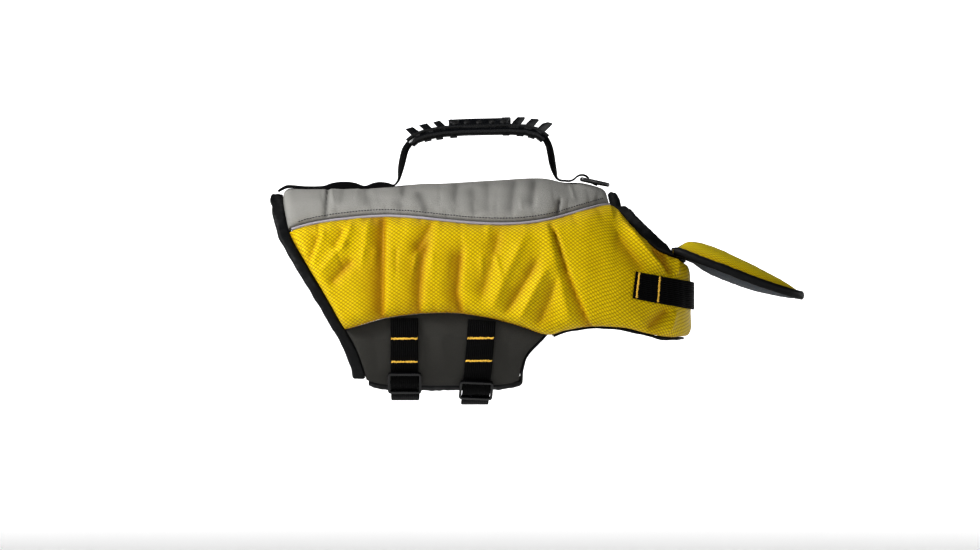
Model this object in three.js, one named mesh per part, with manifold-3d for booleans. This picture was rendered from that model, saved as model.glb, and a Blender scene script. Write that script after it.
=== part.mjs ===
// A dog's life jacket, filled out as it is worn: a padded saddle over the back, padded sides that wrap
// round the chest, belly panels held by two straps, a chest strap, a chin float and a lifting handle.
// Millimetres. +X runs towards the head, +Y to the wearer's left, +Z up. The origin lies on the inner
// face of the saddle, on the spine at mid-length, where the wearer's back carries the jacket.
import * as THREE from "three";
import { mergeVertices } from "three/addons/utils/BufferGeometryUtils.js";
import Module from "manifold-3d";

const wasm = await Module();
wasm.setup();

// Driving dimensions
const seamGap = 0.4; // between pieces that meet at a seam
const restGap = 0.5; // under webbing and buckles that lie on a panel
const formFloor = -186; // the underside that the worn form would have if the belly were closed
const noseStart = 120; // where the sides begin to turn in to the chest
const noseTip = 219; // inner face at the centre of the chest
const noseExponent = 2.8; // squareness of the chest seen from above
const edgeThickness = 4; // a sewn edge, with its padding pressed flat
const backPad = 10.7;
const sidePad = 17;
const sideLip = 5.6; // the side's lower edge, which overlaps the ends of the belly straps
const chestPad = 11;
const bellyPad = 6;
const bellyLip = 3;
const chestEnd = 62; // how far the right side runs on past the centre of the chest
const chestSlit = 3; // between the two sides, under the chest buckle
const webWidth = 25.4;
const webThickness = 1.6;
const curlFlattening = 0.097;
const rearBindingWidth = 11.5;
const bindingThickness = 5;
const pipingRadius = 1.3;
const ringBar = { x: 128.3, z: 14.5, halfLength: 15.4 }; // the leash ring turns about this bar
const ringReach = 24.5;
const ringPitch = -12; // degrees, the ring's slope down towards the neck
const wireRadius = 2;

const finishes = {
  saddle: { color: 0x96948f, roughness: 0.85, metalness: 0 },
  side: { color: 0xe0b400, roughness: 0.5, metalness: 0 },
  belly: { color: 0x55534e, roughness: 0.85, metalness: 0 },
  binding: { color: 0x17191c, roughness: 0.8, metalness: 0 },
  piping: { color: 0xb9b5c0, roughness: 0.4, metalness: 0 },
  webbing: { color: 0x101113, roughness: 0.75, metalness: 0 },
  plastic: { color: 0x1b1d20, roughness: 0.35, metalness: 0 },
  rubber: { color: 0x24282d, roughness: 0.45, metalness: 0 },
  ring: { color: 0x1c1d20, roughness: 0.3, metalness: 0.6 },
};

// The worn form, one row for each section across the body.
const sections = [
  { x: -170, halfWidth: 54, spine: -4.5, squareness: 2.25 },
  { x: -110, halfWidth: 64, spine: -4.5, squareness: 2.3 },
  { x: -60, halfWidth: 70, spine: -3.6, squareness: 2.3 },
  { x: -20, halfWidth: 73, spine: -0.4, squareness: 2.3 },
  { x: 0, halfWidth: 74, spine: 0, squareness: 2.3 },
  { x: 50, halfWidth: 75, spine: 3, squareness: 2.3 },
  { x: 90, halfWidth: 75, spine: 4.8, squareness: 2.2 },
  { x: 110, halfWidth: 74.5, spine: 0.9, squareness: 2.1 },
  { x: 127, halfWidth: 74, spine: 0.4, squareness: 2 },
  { x: 145, halfWidth: 73, spine: -4.5, squareness: 1.9 },
  { x: 158, halfWidth: 72, spine: -9, squareness: 1.85 },
  { x: 220, halfWidth: 70, spine: -14, squareness: 1.85 },
];

// The seams and edges, seen from the side.
const upperLine = [
  { x: -145, z: -37.5 },
  { x: -119, z: -31 },
  { x: -86, z: -26.8 },
  { x: -54, z: -24.8 },
  { x: -28, z: -25.8 },
  { x: 0, z: -28.5 },
  { x: 33, z: -31 },
  { x: 63, z: -31.3 },
  { x: 89, z: -28.8 },
  { x: 115, z: -23.3 },
  { x: 135, z: -17.6 },
  { x: 148, z: -15 },
  { x: 156, z: -16.8 },
  { x: 163, z: -22.8 },
  { x: 170.5, z: -30.7 },
  { x: 183.6, z: -43.7 },
  { x: 192.7, z: -51.6 },
  { x: 203, z: -57 },
  { x: 212, z: -60.5 },
  { x: 219, z: -64 },
];
const lowerLine = [
  { x: -92, z: -124.2 },
  { x: -80, z: -120.9 },
  { x: -54, z: -113.7 },
  { x: -28, z: -110 },
  { x: 0, z: -108.6 },
  { x: 18, z: -109.6 },
  { x: 44, z: -113.4 },
  { x: 71, z: -120.2 },
  { x: 96, z: -127.6 },
  { x: 112, z: -123.6 },
  { x: 135, z: -120.2 },
  { x: 165, z: -121.5 },
  { x: 185, z: -126.7 },
  { x: 203, z: -130.6 },
  { x: 219, z: -131 },
];
const bellyLine = [
  { x: -72, z: -168 },
  { x: -60, z: -171.6 },
  { x: -40, z: -173 },
  { x: 40, z: -173 },
  { x: 60, z: -171.6 },
  { x: 70, z: -168.5 },
];
const rearLine = [
  { z: -178, x: -68.8 },
  { z: -156, x: -74.7 },
  { z: -138.6, x: -81.5 },
  { z: -124, x: -90.2 },
  { z: -89, x: -111 },
  { z: -65.5, x: -125.6 },
  { z: -39, x: -141 },
  { z: -20, x: -146.5 },
  { z: -4, x: -149.7 },
  { z: 6, x: -149.7 },
];
const saddleFrontLine = [
  { z: -24, x: 161 },
  { z: -16, x: 155 },
  { z: -10, x: 151 },
  { z: -4, x: 148.8 },
  { z: 5, x: 148.4 },
];
const bellyFrontLine = [
  { z: -178, x: 66 },
  { z: -172, x: 69.3 },
  { z: -159, x: 71.3 },
  { z: -145, x: 76.8 },
  { z: -136.5, x: 85 },
  { z: -128, x: 94.4 },
];

// Folds and quilting run along these stations, from the upper edge to the lower edge. The press is how
// far the padding is drawn in along the station.
const sideStations = [
  { top: -136, bottom: -86, press: 0 },
  { top: -122, bottom: -81, press: 1.2 },
  { top: -104, bottom: -75, press: 0 },
  { top: -84, bottom: -68, press: 0.6 },
  { top: -68, bottom: -62.5, press: 0 },
  { top: -59, bottom: -58.5, press: 2.4 },
  { top: -55, bottom: -56, press: 4.6 },
  { top: -50, bottom: -51.5, press: -0.6 },
  { top: -38, bottom: -42, press: 0.4 },
  { top: -22, bottom: -29, press: 0 },
  { top: -12, bottom: -18, press: 2.6 },
  { top: 0, bottom: -7, press: 0 },
  { top: 11, bottom: 6, press: 0.4 },
  { top: 20, bottom: 18, press: 2.4 },
  { top: 32, bottom: 30, press: 0 },
  { top: 52, bottom: 45, press: 0.5 },
  { top: 70, bottom: 60, press: 1.8 },
  { top: 82, bottom: 80, press: 0 },
  { top: 90, bottom: 103, press: 0.3 },
  { top: 96, bottom: 119, press: 3.8 },
  { top: 99, bottom: 126, press: 1.4 },
  { top: 102, bottom: 133, press: 3.2 },
  { top: 109, bottom: 141, press: -0.3 },
  { top: 124, bottom: 151, press: 0 },
  { top: 139, bottom: 160, press: 0.4 },
  { top: 152, bottom: 168, press: 0 },
  { top: 163, bottom: 175, press: 0.3 },
  { top: 174, bottom: 182, press: 1.8 },
  { top: 184, bottom: 189, press: 0 },
  { top: 193, bottom: 196, press: 1.2 },
];
const chestStations = [
  { run: -54, press: 0 },
  { run: -42, press: 1.5 },
  { run: -30, press: 0 },
  { run: -15, press: 0.4 },
  { run: 0, press: 0 },
  { run: 15, press: 0.6 },
  { run: 31, press: 0 },
  { run: 47, press: 0.8 },
  { run: 56, press: 0 },
];
const saddleStations = [
  { x: -141, press: 0 },
  { x: -128, press: 0.3 },
  { x: -112, press: 0 },
  { x: -107, press: 2.4 },
  { x: -102, press: 0 },
  { x: -84, press: 0 },
  { x: -65, press: 1.6 },
  { x: -50, press: 0 },
  { x: -38, press: 1.5 },
  { x: -22, press: 0 },
  { x: 0, press: 0.2 },
  { x: 18, press: 1.6 },
  { x: 36, press: 0 },
  { x: 50, press: 0.3 },
  { x: 64, press: 1.6 },
  { x: 82, press: 0 },
  { x: 98, press: 0.4 },
  { x: 105.5, press: 2.2 },
  { x: 113, press: 0 },
  { x: 127, press: 0.3 },
  { x: 137, press: 0 },
  { x: 144, press: 0 },
];

// The neck binding beside the neck opening: how far its open edge lies from its sewn edge.
const neckBindingLine = [
  { x: 158.5, ahead: 9.4, above: 3.4 },
  { x: 163, ahead: 8, above: 6 },
  { x: 170, ahead: 6.6, above: 8.4 },
  { x: 178, ahead: 5.6, above: 9 },
  { x: 187, ahead: 4.6, above: 9.4 },
  { x: 196, ahead: 3, above: 9.6 },
  { x: 202, ahead: 1.4, above: 8.6 },
  { x: 206, ahead: 0.5, above: 4.6 },
];
const neckBindingAhead = 10.4; // its width over the spine
const neckBindingFront = -57.9; // its open edge under the chin float

// The back webbing: flat along the spine in two loose loops, up through the grip with its edges curled
// in, and down again to an arch over the bar of the leash ring. The lift is its height above the form.
const tailWebbing = [
  { x: -154, lift: 8.8 },
  { x: -149.5, lift: 11.6 },
  { x: -146, lift: 13 },
  { x: -141, lift: 13.5 },
  { x: -128, lift: 12.4 },
  { x: -112, lift: 12.3 },
  { x: -104, lift: 14.2 },
  { x: -94, lift: 15.2 },
  { x: -84, lift: 14.4 },
  { x: -76, lift: 12.4 },
  { x: -72, lift: 12.4 },
  { x: -66, lift: 13.4 },
  { x: -60, lift: 13.8 },
  { x: -53, lift: 13 },
  { x: -47, lift: 12.3 },
];
const handleWebbing = [
  { x: -43.6, z: 11.6, curl: 0 },
  { x: -41.7, z: 15.5, curl: 0.2 },
  { x: -40.2, z: 23, curl: 0.9 },
  { x: -38.2, z: 32, curl: 2.2 },
  { x: -35.6, z: 42, curl: 3.6 },
  { x: -31.6, z: 48, curl: 4.6 },
  { x: -26, z: 52.6, curl: 4.8 },
  { x: -16, z: 56.2, curl: 4.8 },
  { x: 0, z: 58.8, curl: 4.8 },
  { x: 18, z: 60, curl: 4.8 },
  { x: 40, z: 60.6, curl: 4.8 },
  { x: 60, z: 60.9, curl: 4.8 },
  { x: 76, z: 60.2, curl: 4.8 },
  { x: 87, z: 57.4, curl: 4.8 },
  { x: 94, z: 52, curl: 4.8 },
  { x: 97.4, z: 45.5, curl: 4.4 },
  { x: 99, z: 38, curl: 3 },
  { x: 100.6, z: 29, curl: 1.8 },
  { x: 102.8, z: 21, curl: 0.7 },
  { x: 105, z: 15.6, curl: 0.1 },
];
const ringWebbing = [
  { x: 108.4, z: 13.6 },
  { x: 112.5, z: 13.2 },
  { x: 117, z: 13 },
  { x: 120.5, z: 14.4 },
  { x: 123.6, z: 17 },
  { x: 126.6, z: 18.4 },
  { x: 130, z: 18.4 },
  { x: 133.4, z: 16.6 },
  { x: 135.4, z: 12.8 },
  { x: 138.6, z: 10.8 },
  { x: 142.5, z: 9 },
];
const gripStops = { first: 5, last: 14 };
const gripChannel = { halfWidth: 7.7, halfHeight: 4.3 };
// The right half of the grip's section, from its crest down: a flat deck, a hollow flank and a bead.
const gripSection = [
  [5.2, 5.4],
  [9.6, 4.8],
  [9.5, 3.7],
  [8.1, 2],
  [9.9, 0],
  [9.3, -2.6],
  [7.6, -4.1],
  [5, -5],
];
const gripHump = { from: 5, to: 62 };
const gripHumpSection = [
  [4.6, 10.6],
  [6.9, 9.6],
  [8.8, 6],
  [9, 3.6],
];
const gripWindows = {
  at: [10.5, 21, 32.5, 44.5, 55.5],
  halfWidth: 2.7,
  halfHeight: 2.2,
  lift: 7.2,
  between: 6,
};
// Blocks that lean out at both ends of the grip, seen from the side
const gripFins = [
  [[-30.2, 55.6], [-22, 54], [-22.5, 58.6], [-29, 63.1], [-35.9, 61.1]],
  [[-16.8, 59], [-9.6, 57], [-10.4, 61.2], [-15.8, 66.5], [-23.3, 64.6]],
  [[-5.2, 61.8], [1.4, 60.2], [1, 64.4], [-3.9, 69.1], [-10, 67.4]],
  [[7, 66.8], [6, 62.4], [14, 62], [14, 69.4], [6.5, 70.2], [3.9, 69.1]],
  [[61.4, 72.2], [54, 72], [50, 64], [59.2, 63.6], [59, 67.6], [61.7, 69.9]],
  [[75, 72.3], [68.6, 72.3], [64.2, 68.2], [61, 62.2], [69, 62.2], [75.2, 70.6]],
  [[87.6, 70.5], [81.3, 70.8], [76.8, 66.6], [74, 61.4], [81, 60.4], [88.2, 69.2]],
  [[100.4, 66.7], [96.4, 67.6], [91.6, 66.4], [85.4, 60.6], [86.4, 56.4], [92.4, 57.4], [100.6, 65.3]],
];
const gripLugs = [
  { x: -16, low: -6.6 },
  { x: -4.7, low: -7 },
  { x: 8.7, low: -6.6 },
  { x: 57.7, low: -5.8 },
  { x: 71, low: -6.2 },
  { x: 82.5, low: -6.6 },
];

// Each belly strap: its place along the jacket at the panel and under the belly, where it leaves the
// panel, and the level of its slide and of its lowest stretch.
const bellyStraps = {
  rear: {
    top: -35.8,
    low: -35.8,
    leave: -151,
    slideTop: [64.6, -159.5],
    slideLow: [44.8, -184.5],
    sag: -190,
  },
  front: {
    top: 35.8,
    low: 28.6,
    leave: -158,
    slideTop: [60.6, -168],
    slideLow: [38.6, -188.8],
    sag: -194,
  },
};
const slide = { width: 31, height: 24, bar: 2.5, centreBar: 3, low: 1.3, high: 4.4, centreHigh: 2.8 };
const buckle = { barAt: 23, barRadius: 1.5, barHeight: 4.9, halfWidth: 17, low: 0.2, high: 9.6 };

// The chin float, one row for each section from its sewn end to its tip.
const floatSections = [
  { x: 219, z: -52.8, halfWidth: 37, above: 3, below: 2 },
  { x: 222.5, z: -53.2, halfWidth: 38.5, above: 7.5, below: 2.1 },
  { x: 226.5, z: -54.6, halfWidth: 40, above: 10.6, below: 2.4 },
  { x: 232, z: -57.2, halfWidth: 41.5, above: 13.6, below: 6.2 },
  { x: 242, z: -61.8, halfWidth: 43.5, above: 16.2, below: 8.8 },
  { x: 256, z: -67.6, halfWidth: 45, above: 17, below: 9.7 },
  { x: 272, z: -74, halfWidth: 44.5, above: 16.2, below: 9.6 },
  { x: 288, z: -80.2, halfWidth: 42, above: 14.6, below: 8.6 },
  { x: 302, z: -85, halfWidth: 37.5, above: 12.2, below: 7.2 },
  { x: 313, z: -88.6, halfWidth: 31.5, above: 9.8, below: 5.8 },
  { x: 321, z: -91, halfWidth: 25, above: 7.4, below: 4.6 },
  { x: 326.5, z: -92.4, halfWidth: 18, above: 5, below: 3.6 },
  { x: 330, z: -93.2, halfWidth: 10, above: 2.6, below: 2.6 },
];
const floatEdge = 2.4; // half the thickness of the float's sewn edge
const floatTape = { width: 3, height: 7.6 };

const mix = (a, b, t) => a + (b - a) * t;
const clamp = (t, low = 0, high = 1) => Math.min(high, Math.max(low, t));
const signedPower = (value, power) => Math.sign(value) * Math.abs(value) ** power;
const vec = (x, y, z) => new THREE.Vector3(x, y, z);
const moved = (point, direction, distance) => point.clone().addScaledVector(direction, distance);
const sideways = vec(0, 1, 0);

// A smooth function through two columns of a table, level beyond its ends.
function smooth(table, across, column) {
  const xs = table.map((row) => row[across]);
  const ys = table.map((row) => row[column]);
  const last = xs.length - 1;
  const slope = (i) => {
    const before = Math.max(0, i - 1);
    const after = Math.min(last, i + 1);
    return (ys[after] - ys[before]) / (xs[after] - xs[before]);
  };
  return (x) => {
    let i = 0;
    while (i < last - 1 && x > xs[i + 1]) i += 1;
    const span = xs[i + 1] - xs[i];
    const t = clamp((x - xs[i]) / span);
    const t2 = t * t;
    const t3 = t2 * t;
    const start = ys[i] * (2 * t3 - 3 * t2 + 1) + slope(i) * span * (t3 - 2 * t2 + t);
    return start + ys[i + 1] * (3 * t2 - 2 * t3) + slope(i + 1) * span * (t3 - t2);
  };
}

const halfWidth = smooth(sections, "x", "halfWidth");
const spineHeight = smooth(sections, "x", "spine");
const squareness = smooth(sections, "x", "squareness");
const upperHeight = smooth(upperLine, "x", "z");
const lowerHeight = smooth(lowerLine, "x", "z");
const bellyHeight = smooth(bellyLine, "x", "z");
const rearX = smooth(rearLine, "z", "x");
const saddleFrontX = smooth(saddleFrontLine, "z", "x");
const bellyFrontX = smooth(bellyFrontLine, "z", "x");

// The form seen from above. The run is 0 at the centre of the chest, negative along the right side and
// positive along the left side.
function makeOutline() {
  const points = [];
  for (let x = -200; x < noseStart; x += 4) points.push({ x, y: -halfWidth(x), run: 0 });
  const steps = 120;
  for (let i = 0; i <= steps; i += 1) {
    const angle = (Math.PI / 2) * (i / steps);
    const reach = Math.sin(angle) ** (2 / noseExponent);
    const side = i === steps ? 0 : Math.cos(angle) ** (2 / noseExponent);
    points.push({ x: mix(noseStart, noseTip, reach), y: -halfWidth(noseStart) * side, run: 0 });
  }
  for (let i = points.length - 2; i >= 0; i -= 1) {
    const step = Math.hypot(points[i + 1].x - points[i].x, points[i + 1].y - points[i].y);
    points[i].run = points[i + 1].run - step;
  }
  return points;
}
const outline = makeOutline();

function outlineAt(column, value) {
  let low = 0;
  let high = outline.length - 1;
  while (high - low > 1) {
    const middle = (low + high) >> 1;
    if (outline[middle][column] < value) low = middle;
    else high = middle;
  }
  const a = outline[low];
  const b = outline[high];
  const t = clamp((value - a[column]) / (b[column] - a[column]));
  return { x: mix(a.x, b.x, t), y: mix(a.y, b.y, t), run: mix(a.run, b.run, t) };
}
const planAt = (run) => {
  const right = outlineAt("run", -Math.abs(run));
  return { x: right.x, y: run > 0 ? -right.y : right.y };
};
const runAt = (x) => outlineAt("x", x).run;

// A point of the worn form. The angle is 0 on the spine and grows down the side.
function form(run, angle) {
  const { x, y } = planAt(run);
  const power = 2 / squareness(x);
  const half = (spineHeight(x) - formFloor) / 2;
  const across = y * signedPower(Math.sin(angle), power);
  return vec(x, across, formFloor + half + half * signedPower(Math.cos(angle), power));
}
function angleAt(x, z) {
  const half = (spineHeight(x) - formFloor) / 2;
  const share = clamp((z - formFloor - half) / half, -1, 1);
  return Math.acos(clamp(signedPower(share, squareness(x) / 2), -1, 1));
}
const girthwise = (run, angle) => form(run, angle + 0.002).sub(form(run, angle - 0.002)).normalize();
const lengthwise = (run, angle) => form(run + 0.05, angle).sub(form(run - 0.05, angle)).normalize();
const outward = (run, angle) => girthwise(run, angle).cross(lengthwise(run, angle)).normalize();
const skin = ({ run, angle }, height) => moved(form(run, angle), outward(run, angle), height);
const onRight = (x, z) => ({ run: runAt(x), angle: angleAt(x, z) });
const onLeft = ({ run, angle }) => ({ run: -run, angle });

// Faces are turned round where the solid would otherwise be inside out.
function solidGeometry(points, index) {
  let volume = 0;
  for (let i = 0; i < index.length; i += 3) {
    const [a, b, c] = [points[index[i]], points[index[i + 1]], points[index[i + 2]]];
    volume += a.dot(b.clone().cross(c));
  }
  const geometry = new THREE.BufferGeometry();
  const flat = points.flatMap((point) => point.toArray());
  geometry.setAttribute("position", new THREE.Float32BufferAttribute(flat, 3));
  geometry.setIndex(volume < 0 ? index.slice().reverse() : index);
  return geometry;
}

// One closed solid from an outer and an inner sheet of points.
function slab(outer, inner) {
  const rows = outer.length;
  const columns = outer[0].length;
  const at = (layer, i, j) => layer * rows * columns + i * columns + j;
  const index = [];
  const quad = (a, b, c, d) => index.push(a, b, c, a, c, d);
  const endRow = rows - 1;
  const end = columns - 1;
  for (let i = 0; i < endRow; i += 1) {
    for (let j = 0; j < end; j += 1) {
      quad(at(0, i, j), at(0, i + 1, j), at(0, i + 1, j + 1), at(0, i, j + 1));
      quad(at(1, i, j), at(1, i, j + 1), at(1, i + 1, j + 1), at(1, i + 1, j));
    }
    quad(at(0, i, 0), at(1, i, 0), at(1, i + 1, 0), at(0, i + 1, 0));
    quad(at(0, i, end), at(0, i + 1, end), at(1, i + 1, end), at(1, i, end));
  }
  for (let j = 0; j < end; j += 1) {
    quad(at(0, 0, j), at(0, 0, j + 1), at(1, 0, j + 1), at(1, 0, j));
    quad(at(0, endRow, j), at(1, endRow, j), at(1, endRow, j + 1), at(0, endRow, j + 1));
  }
  return solidGeometry([...outer.flat(), ...inner.flat()], index);
}

// A bar with one section, of an even number of corners, for each stop along its path.
function sweep(stops, sectionAt, closed = false) {
  const sides = sectionAt(0).length;
  const points = stops.flatMap(({ at, across, out }, i) =>
    sectionAt(i).map(([a, h]) => moved(moved(at, across, a), out, h)),
  );
  const index = [];
  const quad = (a, b, c, d) => index.push(a, b, c, a, c, d);
  for (let i = 0; i < (closed ? stops.length : stops.length - 1); i += 1) {
    const next = (i + 1) % stops.length;
    for (let j = 0; j < sides; j += 1) {
      const k = (j + 1) % sides;
      quad(i * sides + j, next * sides + j, next * sides + k, i * sides + k);
    }
  }
  const end = (stops.length - 1) * sides;
  for (let j = 1; j < sides / 2 && !closed; j += 1) {
    const [a, b, c, d] = [j - 1, j, sides - 1 - j, sides - j];
    quad(a, b, c, d);
    quad(end + d, end + c, end + b, end + a);
  }
  return solidGeometry(points, index);
}

const oval = (width, height, sides, lift = 0) =>
  Array.from({ length: sides }, (_, i) => {
    const angle = (2 * Math.PI * (i + 0.5)) / sides;
    return [width * Math.cos(angle), height * Math.sin(angle) + lift];
  });

// Webbing curled lengthwise through an angle: 0 is flat, and 4.8 makes it nearly a flattened tube.
function webSection(curl, pieces) {
  const radius = webWidth / Math.max(curl, 0.002);
  const flat = 1 - curl * curlFlattening;
  const depth = flat * radius * (1 - Math.cos(curl / 2));
  const face = (height) =>
    Array.from({ length: pieces + 1 }, (_, i) => {
      const angle = (i / pieces - 0.5) * (webWidth / radius);
      const [side, up] = [Math.sin(angle), Math.cos(angle)];
      const out = height / Math.hypot(flat * side, up);
      return [(radius + flat * out) * side, (flat * radius + out) * up - flat * radius + depth / 2];
    });
  return [...face(webThickness / 2), ...face(-webThickness / 2).reverse()];
}

// Stops along a path, with their thickness square to it.
function stopsAlong(points, acrossAt) {
  return points.map((at, i) => {
    const before = points[Math.max(0, i - 1)];
    const after = points[Math.min(points.length - 1, i + 1)];
    const forward = after.clone().sub(before).normalize();
    const out = forward.clone().cross(acrossAt(i)).normalize();
    return { at, across: out.clone().cross(forward).normalize(), out };
  });
}
function ribbon(stops) {
  const frames = stopsAlong(
    stops.map(({ at }) => at),
    (i) => stops[i].across,
  );
  return sweep(frames, () => webSection(0, 1));
}
const withAcross = (points, across) => points.map((at) => ({ at, across }));

// Joining and cutting
function toManifold(geometry) {
  const bare = geometry.clone();
  bare.deleteAttribute("normal");
  bare.deleteAttribute("uv");
  const merged = mergeVertices(bare, 1e-4);
  const vertProperties = new Float32Array(merged.attributes.position.array);
  const triVerts = new Uint32Array(merged.index.array);
  return new wasm.Manifold(new wasm.Mesh({ numProp: 3, vertProperties, triVerts }));
}
function fromManifold(solid) {
  const mesh = solid.getMesh();
  const geometry = new THREE.BufferGeometry();
  geometry.setAttribute("position", new THREE.BufferAttribute(mesh.vertProperties, 3));
  geometry.setIndex(new THREE.BufferAttribute(mesh.triVerts, 1));
  return geometry;
}
const box = (x1, x2, y1, y2, z1, z2) => {
  const geometry = new THREE.BoxGeometry(x2 - x1, y2 - y1, z2 - z1);
  geometry.translate((x1 + x2) / 2, (y1 + y2) / 2, (z1 + z2) / 2);
  return toManifold(geometry);
};
const join = (...solids) => wasm.Manifold.union(solids);

function roundedPlate(width, height, corner, low, high) {
  const shape = new THREE.Shape();
  const [w, h] = [width / 2, height / 2];
  shape.moveTo(-w + corner, -h);
  shape.lineTo(w - corner, -h);
  shape.quadraticCurveTo(w, -h, w, -h + corner);
  shape.lineTo(w, h - corner);
  shape.quadraticCurveTo(w, h, w - corner, h);
  shape.lineTo(-w + corner, h);
  shape.quadraticCurveTo(-w, h, -w, h - corner);
  shape.lineTo(-w, -h + corner);
  shape.quadraticCurveTo(-w, -h, -w + corner, -h);
  const options = { depth: high - low, bevelEnabled: false, curveSegments: 2 };
  const geometry = new THREE.ExtrudeGeometry(shape, options);
  geometry.translate(0, 0, low);
  return toManifold(geometry);
}

// Sets a solid made in its own axes (across, along, out) on the jacket.
function setAt(solid, { at, across, along, out }) {
  const geometry = fromManifold(solid);
  geometry.applyMatrix4(new THREE.Matrix4().makeBasis(across, along, out).setPosition(at));
  return geometry;
}

const mirrored = (geometry) => {
  const other = geometry.clone();
  other.scale(1, -1, 1);
  other.setIndex([...other.index.array].reverse());
  return other;
};

// Padding rises from a pressed edge in a quarter round.
const rise = (distance, reach) => Math.sqrt(Math.max(0, 1 - (1 - clamp(distance / reach)) ** 2));
const eased = (i, count, ease) => mix(i / count, 0.5 - 0.5 * Math.cos((Math.PI * i) / count), ease);

function padded(columns, rows, spotAt) {
  const outer = [];
  const inner = [];
  for (let i = 0; i <= columns; i += 1) {
    const row = Array.from({ length: rows + 1 }, (_, j) => spotAt(i, j));
    outer.push(row.map((spot) => skin(spot, spot.thickness)));
    inner.push(row.map((spot) => skin(spot, 0)));
  }
  return slab(outer, inner);
}

// Padded sides
const strapHeight = (x) => mix(-85.5, -93.8, clamp((x - 171) / 48));
const sideTop = (x) => upperHeight(x) - seamGap / 2;
const sideRearX = (v) => {
  let x = -110;
  for (let i = 0; i < 40; i += 1) x = mix(x, rearX(mix(sideTop(x), lowerHeight(x), v)) + seamGap, 0.7);
  return x;
};

function sideSpot(run, v, press, frontRun) {
  const { x } = planAt(run);
  const z = mix(sideTop(x), lowerHeight(x), v);
  const full = mix(sidePad, chestPad, clamp((x - 130) / 60));
  const ends = rise(run - runAt(sideRearX(v)), 9) * rise(frontRun - run, 9);
  const pillow = rise(sideTop(x) - z, 14) * rise(z - lowerHeight(x), 13) * ends;
  const lip = edgeThickness + (sideLip - edgeThickness) * clamp((v - 0.7) / 0.3);
  const drawnIn = press * Math.sin(Math.PI * clamp(v, 0.06, 0.94));
  const thickness = lip + Math.max(0.4, full - edgeThickness - drawnIn) * pillow;
  return { run, angle: angleAt(x, z), thickness };
}

const rightSide = { stations: [...sideStations, ...chestStations], end: chestEnd };
const leftSide = {
  stations: [...sideStations, { run: -chestEnd - chestSlit - 8, press: 0 }],
  end: -chestEnd - chestSlit,
};
const stationRun = (station, v) => station.run ?? runAt(mix(station.top, station.bottom, v));

function sideGeometry({ stations, end }, rows) {
  return padded(stations.length + 1, rows, (i, j) => {
    const v = eased(j, rows, 0.6);
    if (i === 0) return sideSpot(runAt(sideRearX(v)), v, 0, end);
    if (i === stations.length + 1) return sideSpot(end, v, 0, end);
    return sideSpot(stationRun(stations[i - 1], v), v, stations[i - 1].press, end);
  });
}

// The outer surface of either side at a run and a height.
function sideSurface(run, z) {
  const left = run > chestEnd + chestSlit / 2;
  const { stations, end } = left ? leftSide : rightSide;
  const place = clamp(left ? -run : run, -400, end);
  const { x } = planAt(place);
  const v = clamp((sideTop(x) - z) / (sideTop(x) - lowerHeight(x)));
  const runs = stations.map((station) => stationRun(station, v));
  let i = 0;
  while (i < runs.length - 2 && place > runs[i + 1]) i += 1;
  const t = clamp((place - runs[i]) / (runs[i + 1] - runs[i]));
  const spot = sideSpot(place, v, mix(stations[i].press, stations[i + 1].press, t), end);
  return skin({ run: left ? -place : place, angle: spot.angle }, spot.thickness);
}

// Saddle
const pipingWidth = 2 * pipingRadius + 2 * seamGap;
const saddleLimit = (x) => angleAt(x, upperHeight(x) + pipingWidth);
function saddleEdgeX(line, start, share) {
  let x = start;
  for (let i = 0; i < 40; i += 1) x = mix(x, line(form(runAt(x), share * saddleLimit(x)).z), 0.7);
  return x;
}
function saddleGeometry(rows) {
  const count = saddleStations.length + 1;
  return padded(count, rows, (i, j) => {
    const v = 2 * eased(j, rows, 0.35) - 1;
    const share = Math.abs(v);
    const rear = saddleEdgeX(rearX, -145, share) + seamGap;
    const front = saddleEdgeX(saddleFrontX, 150, share) - seamGap;
    const inside = saddleStations[i - 1] ?? { x: i === 0 ? rear : front, press: 0 };
    const x = i === count ? front : inside.x;
    const toPiping = (1 - share) * saddleLimit(x) * 78;
    const pillow = rise(toPiping, 26) * rise(x - rear, 8) * rise(front - x, 13);
    const drawnIn = i === count ? 0 : inside.press * clamp(share * 4);
    const thickness = edgeThickness + Math.max(0.4, backPad - edgeThickness - drawnIn) * pillow;
    return { run: runAt(x), angle: v * saddleLimit(x), thickness };
  });
}

// Belly panels
function bellySpot(x, z) {
  const top = lowerHeight(x) - 2 * seamGap;
  const v = clamp((top - z) / (top - bellyHeight(x)));
  const edge = mix(bellyLip, edgeThickness, clamp(v / 0.3));
  const ends = rise(x - rearX(z), 8) * rise(bellyFrontX(z) - x, 8);
  const pillow = rise(z - bellyHeight(x), 9) * ends * clamp(v / 0.3);
  return { ...onRight(x, z), thickness: edge + (bellyPad - edgeThickness) * pillow };
}
function bellyGeometry(columns, rows) {
  return padded(columns, rows, (i, j) => {
    const v = eased(j, rows, 0.3);
    const level = (x) => mix(lowerHeight(x) - 2 * seamGap, bellyHeight(x), v);
    const edgeX = (line, start) => {
      let x = start;
      for (let k = 0; k < 40; k += 1) x = mix(x, line(level(x)), 0.6);
      return x;
    };
    const rear = edgeX(rearX, -80) + seamGap;
    const front = edgeX(bellyFrontX, 80) - seamGap;
    const x = mix(rear, front, eased(i, columns, 0.25));
    return bellySpot(x, level(x));
  });
}

// Piping and binding tapes
function pipingGeometry() {
  const steps = 26;
  const points = Array.from({ length: steps + 1 }, (_, i) => {
    const x = mix(-139.5, 152, i / steps);
    return skin(onRight(x, upperHeight(x) + pipingRadius + seamGap), edgeThickness - 0.4);
  });
  const stops = stopsAlong(points, () => vec(0, 0, 1));
  return sweep(stops, () => oval(pipingRadius, pipingRadius, 6));
}

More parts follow.
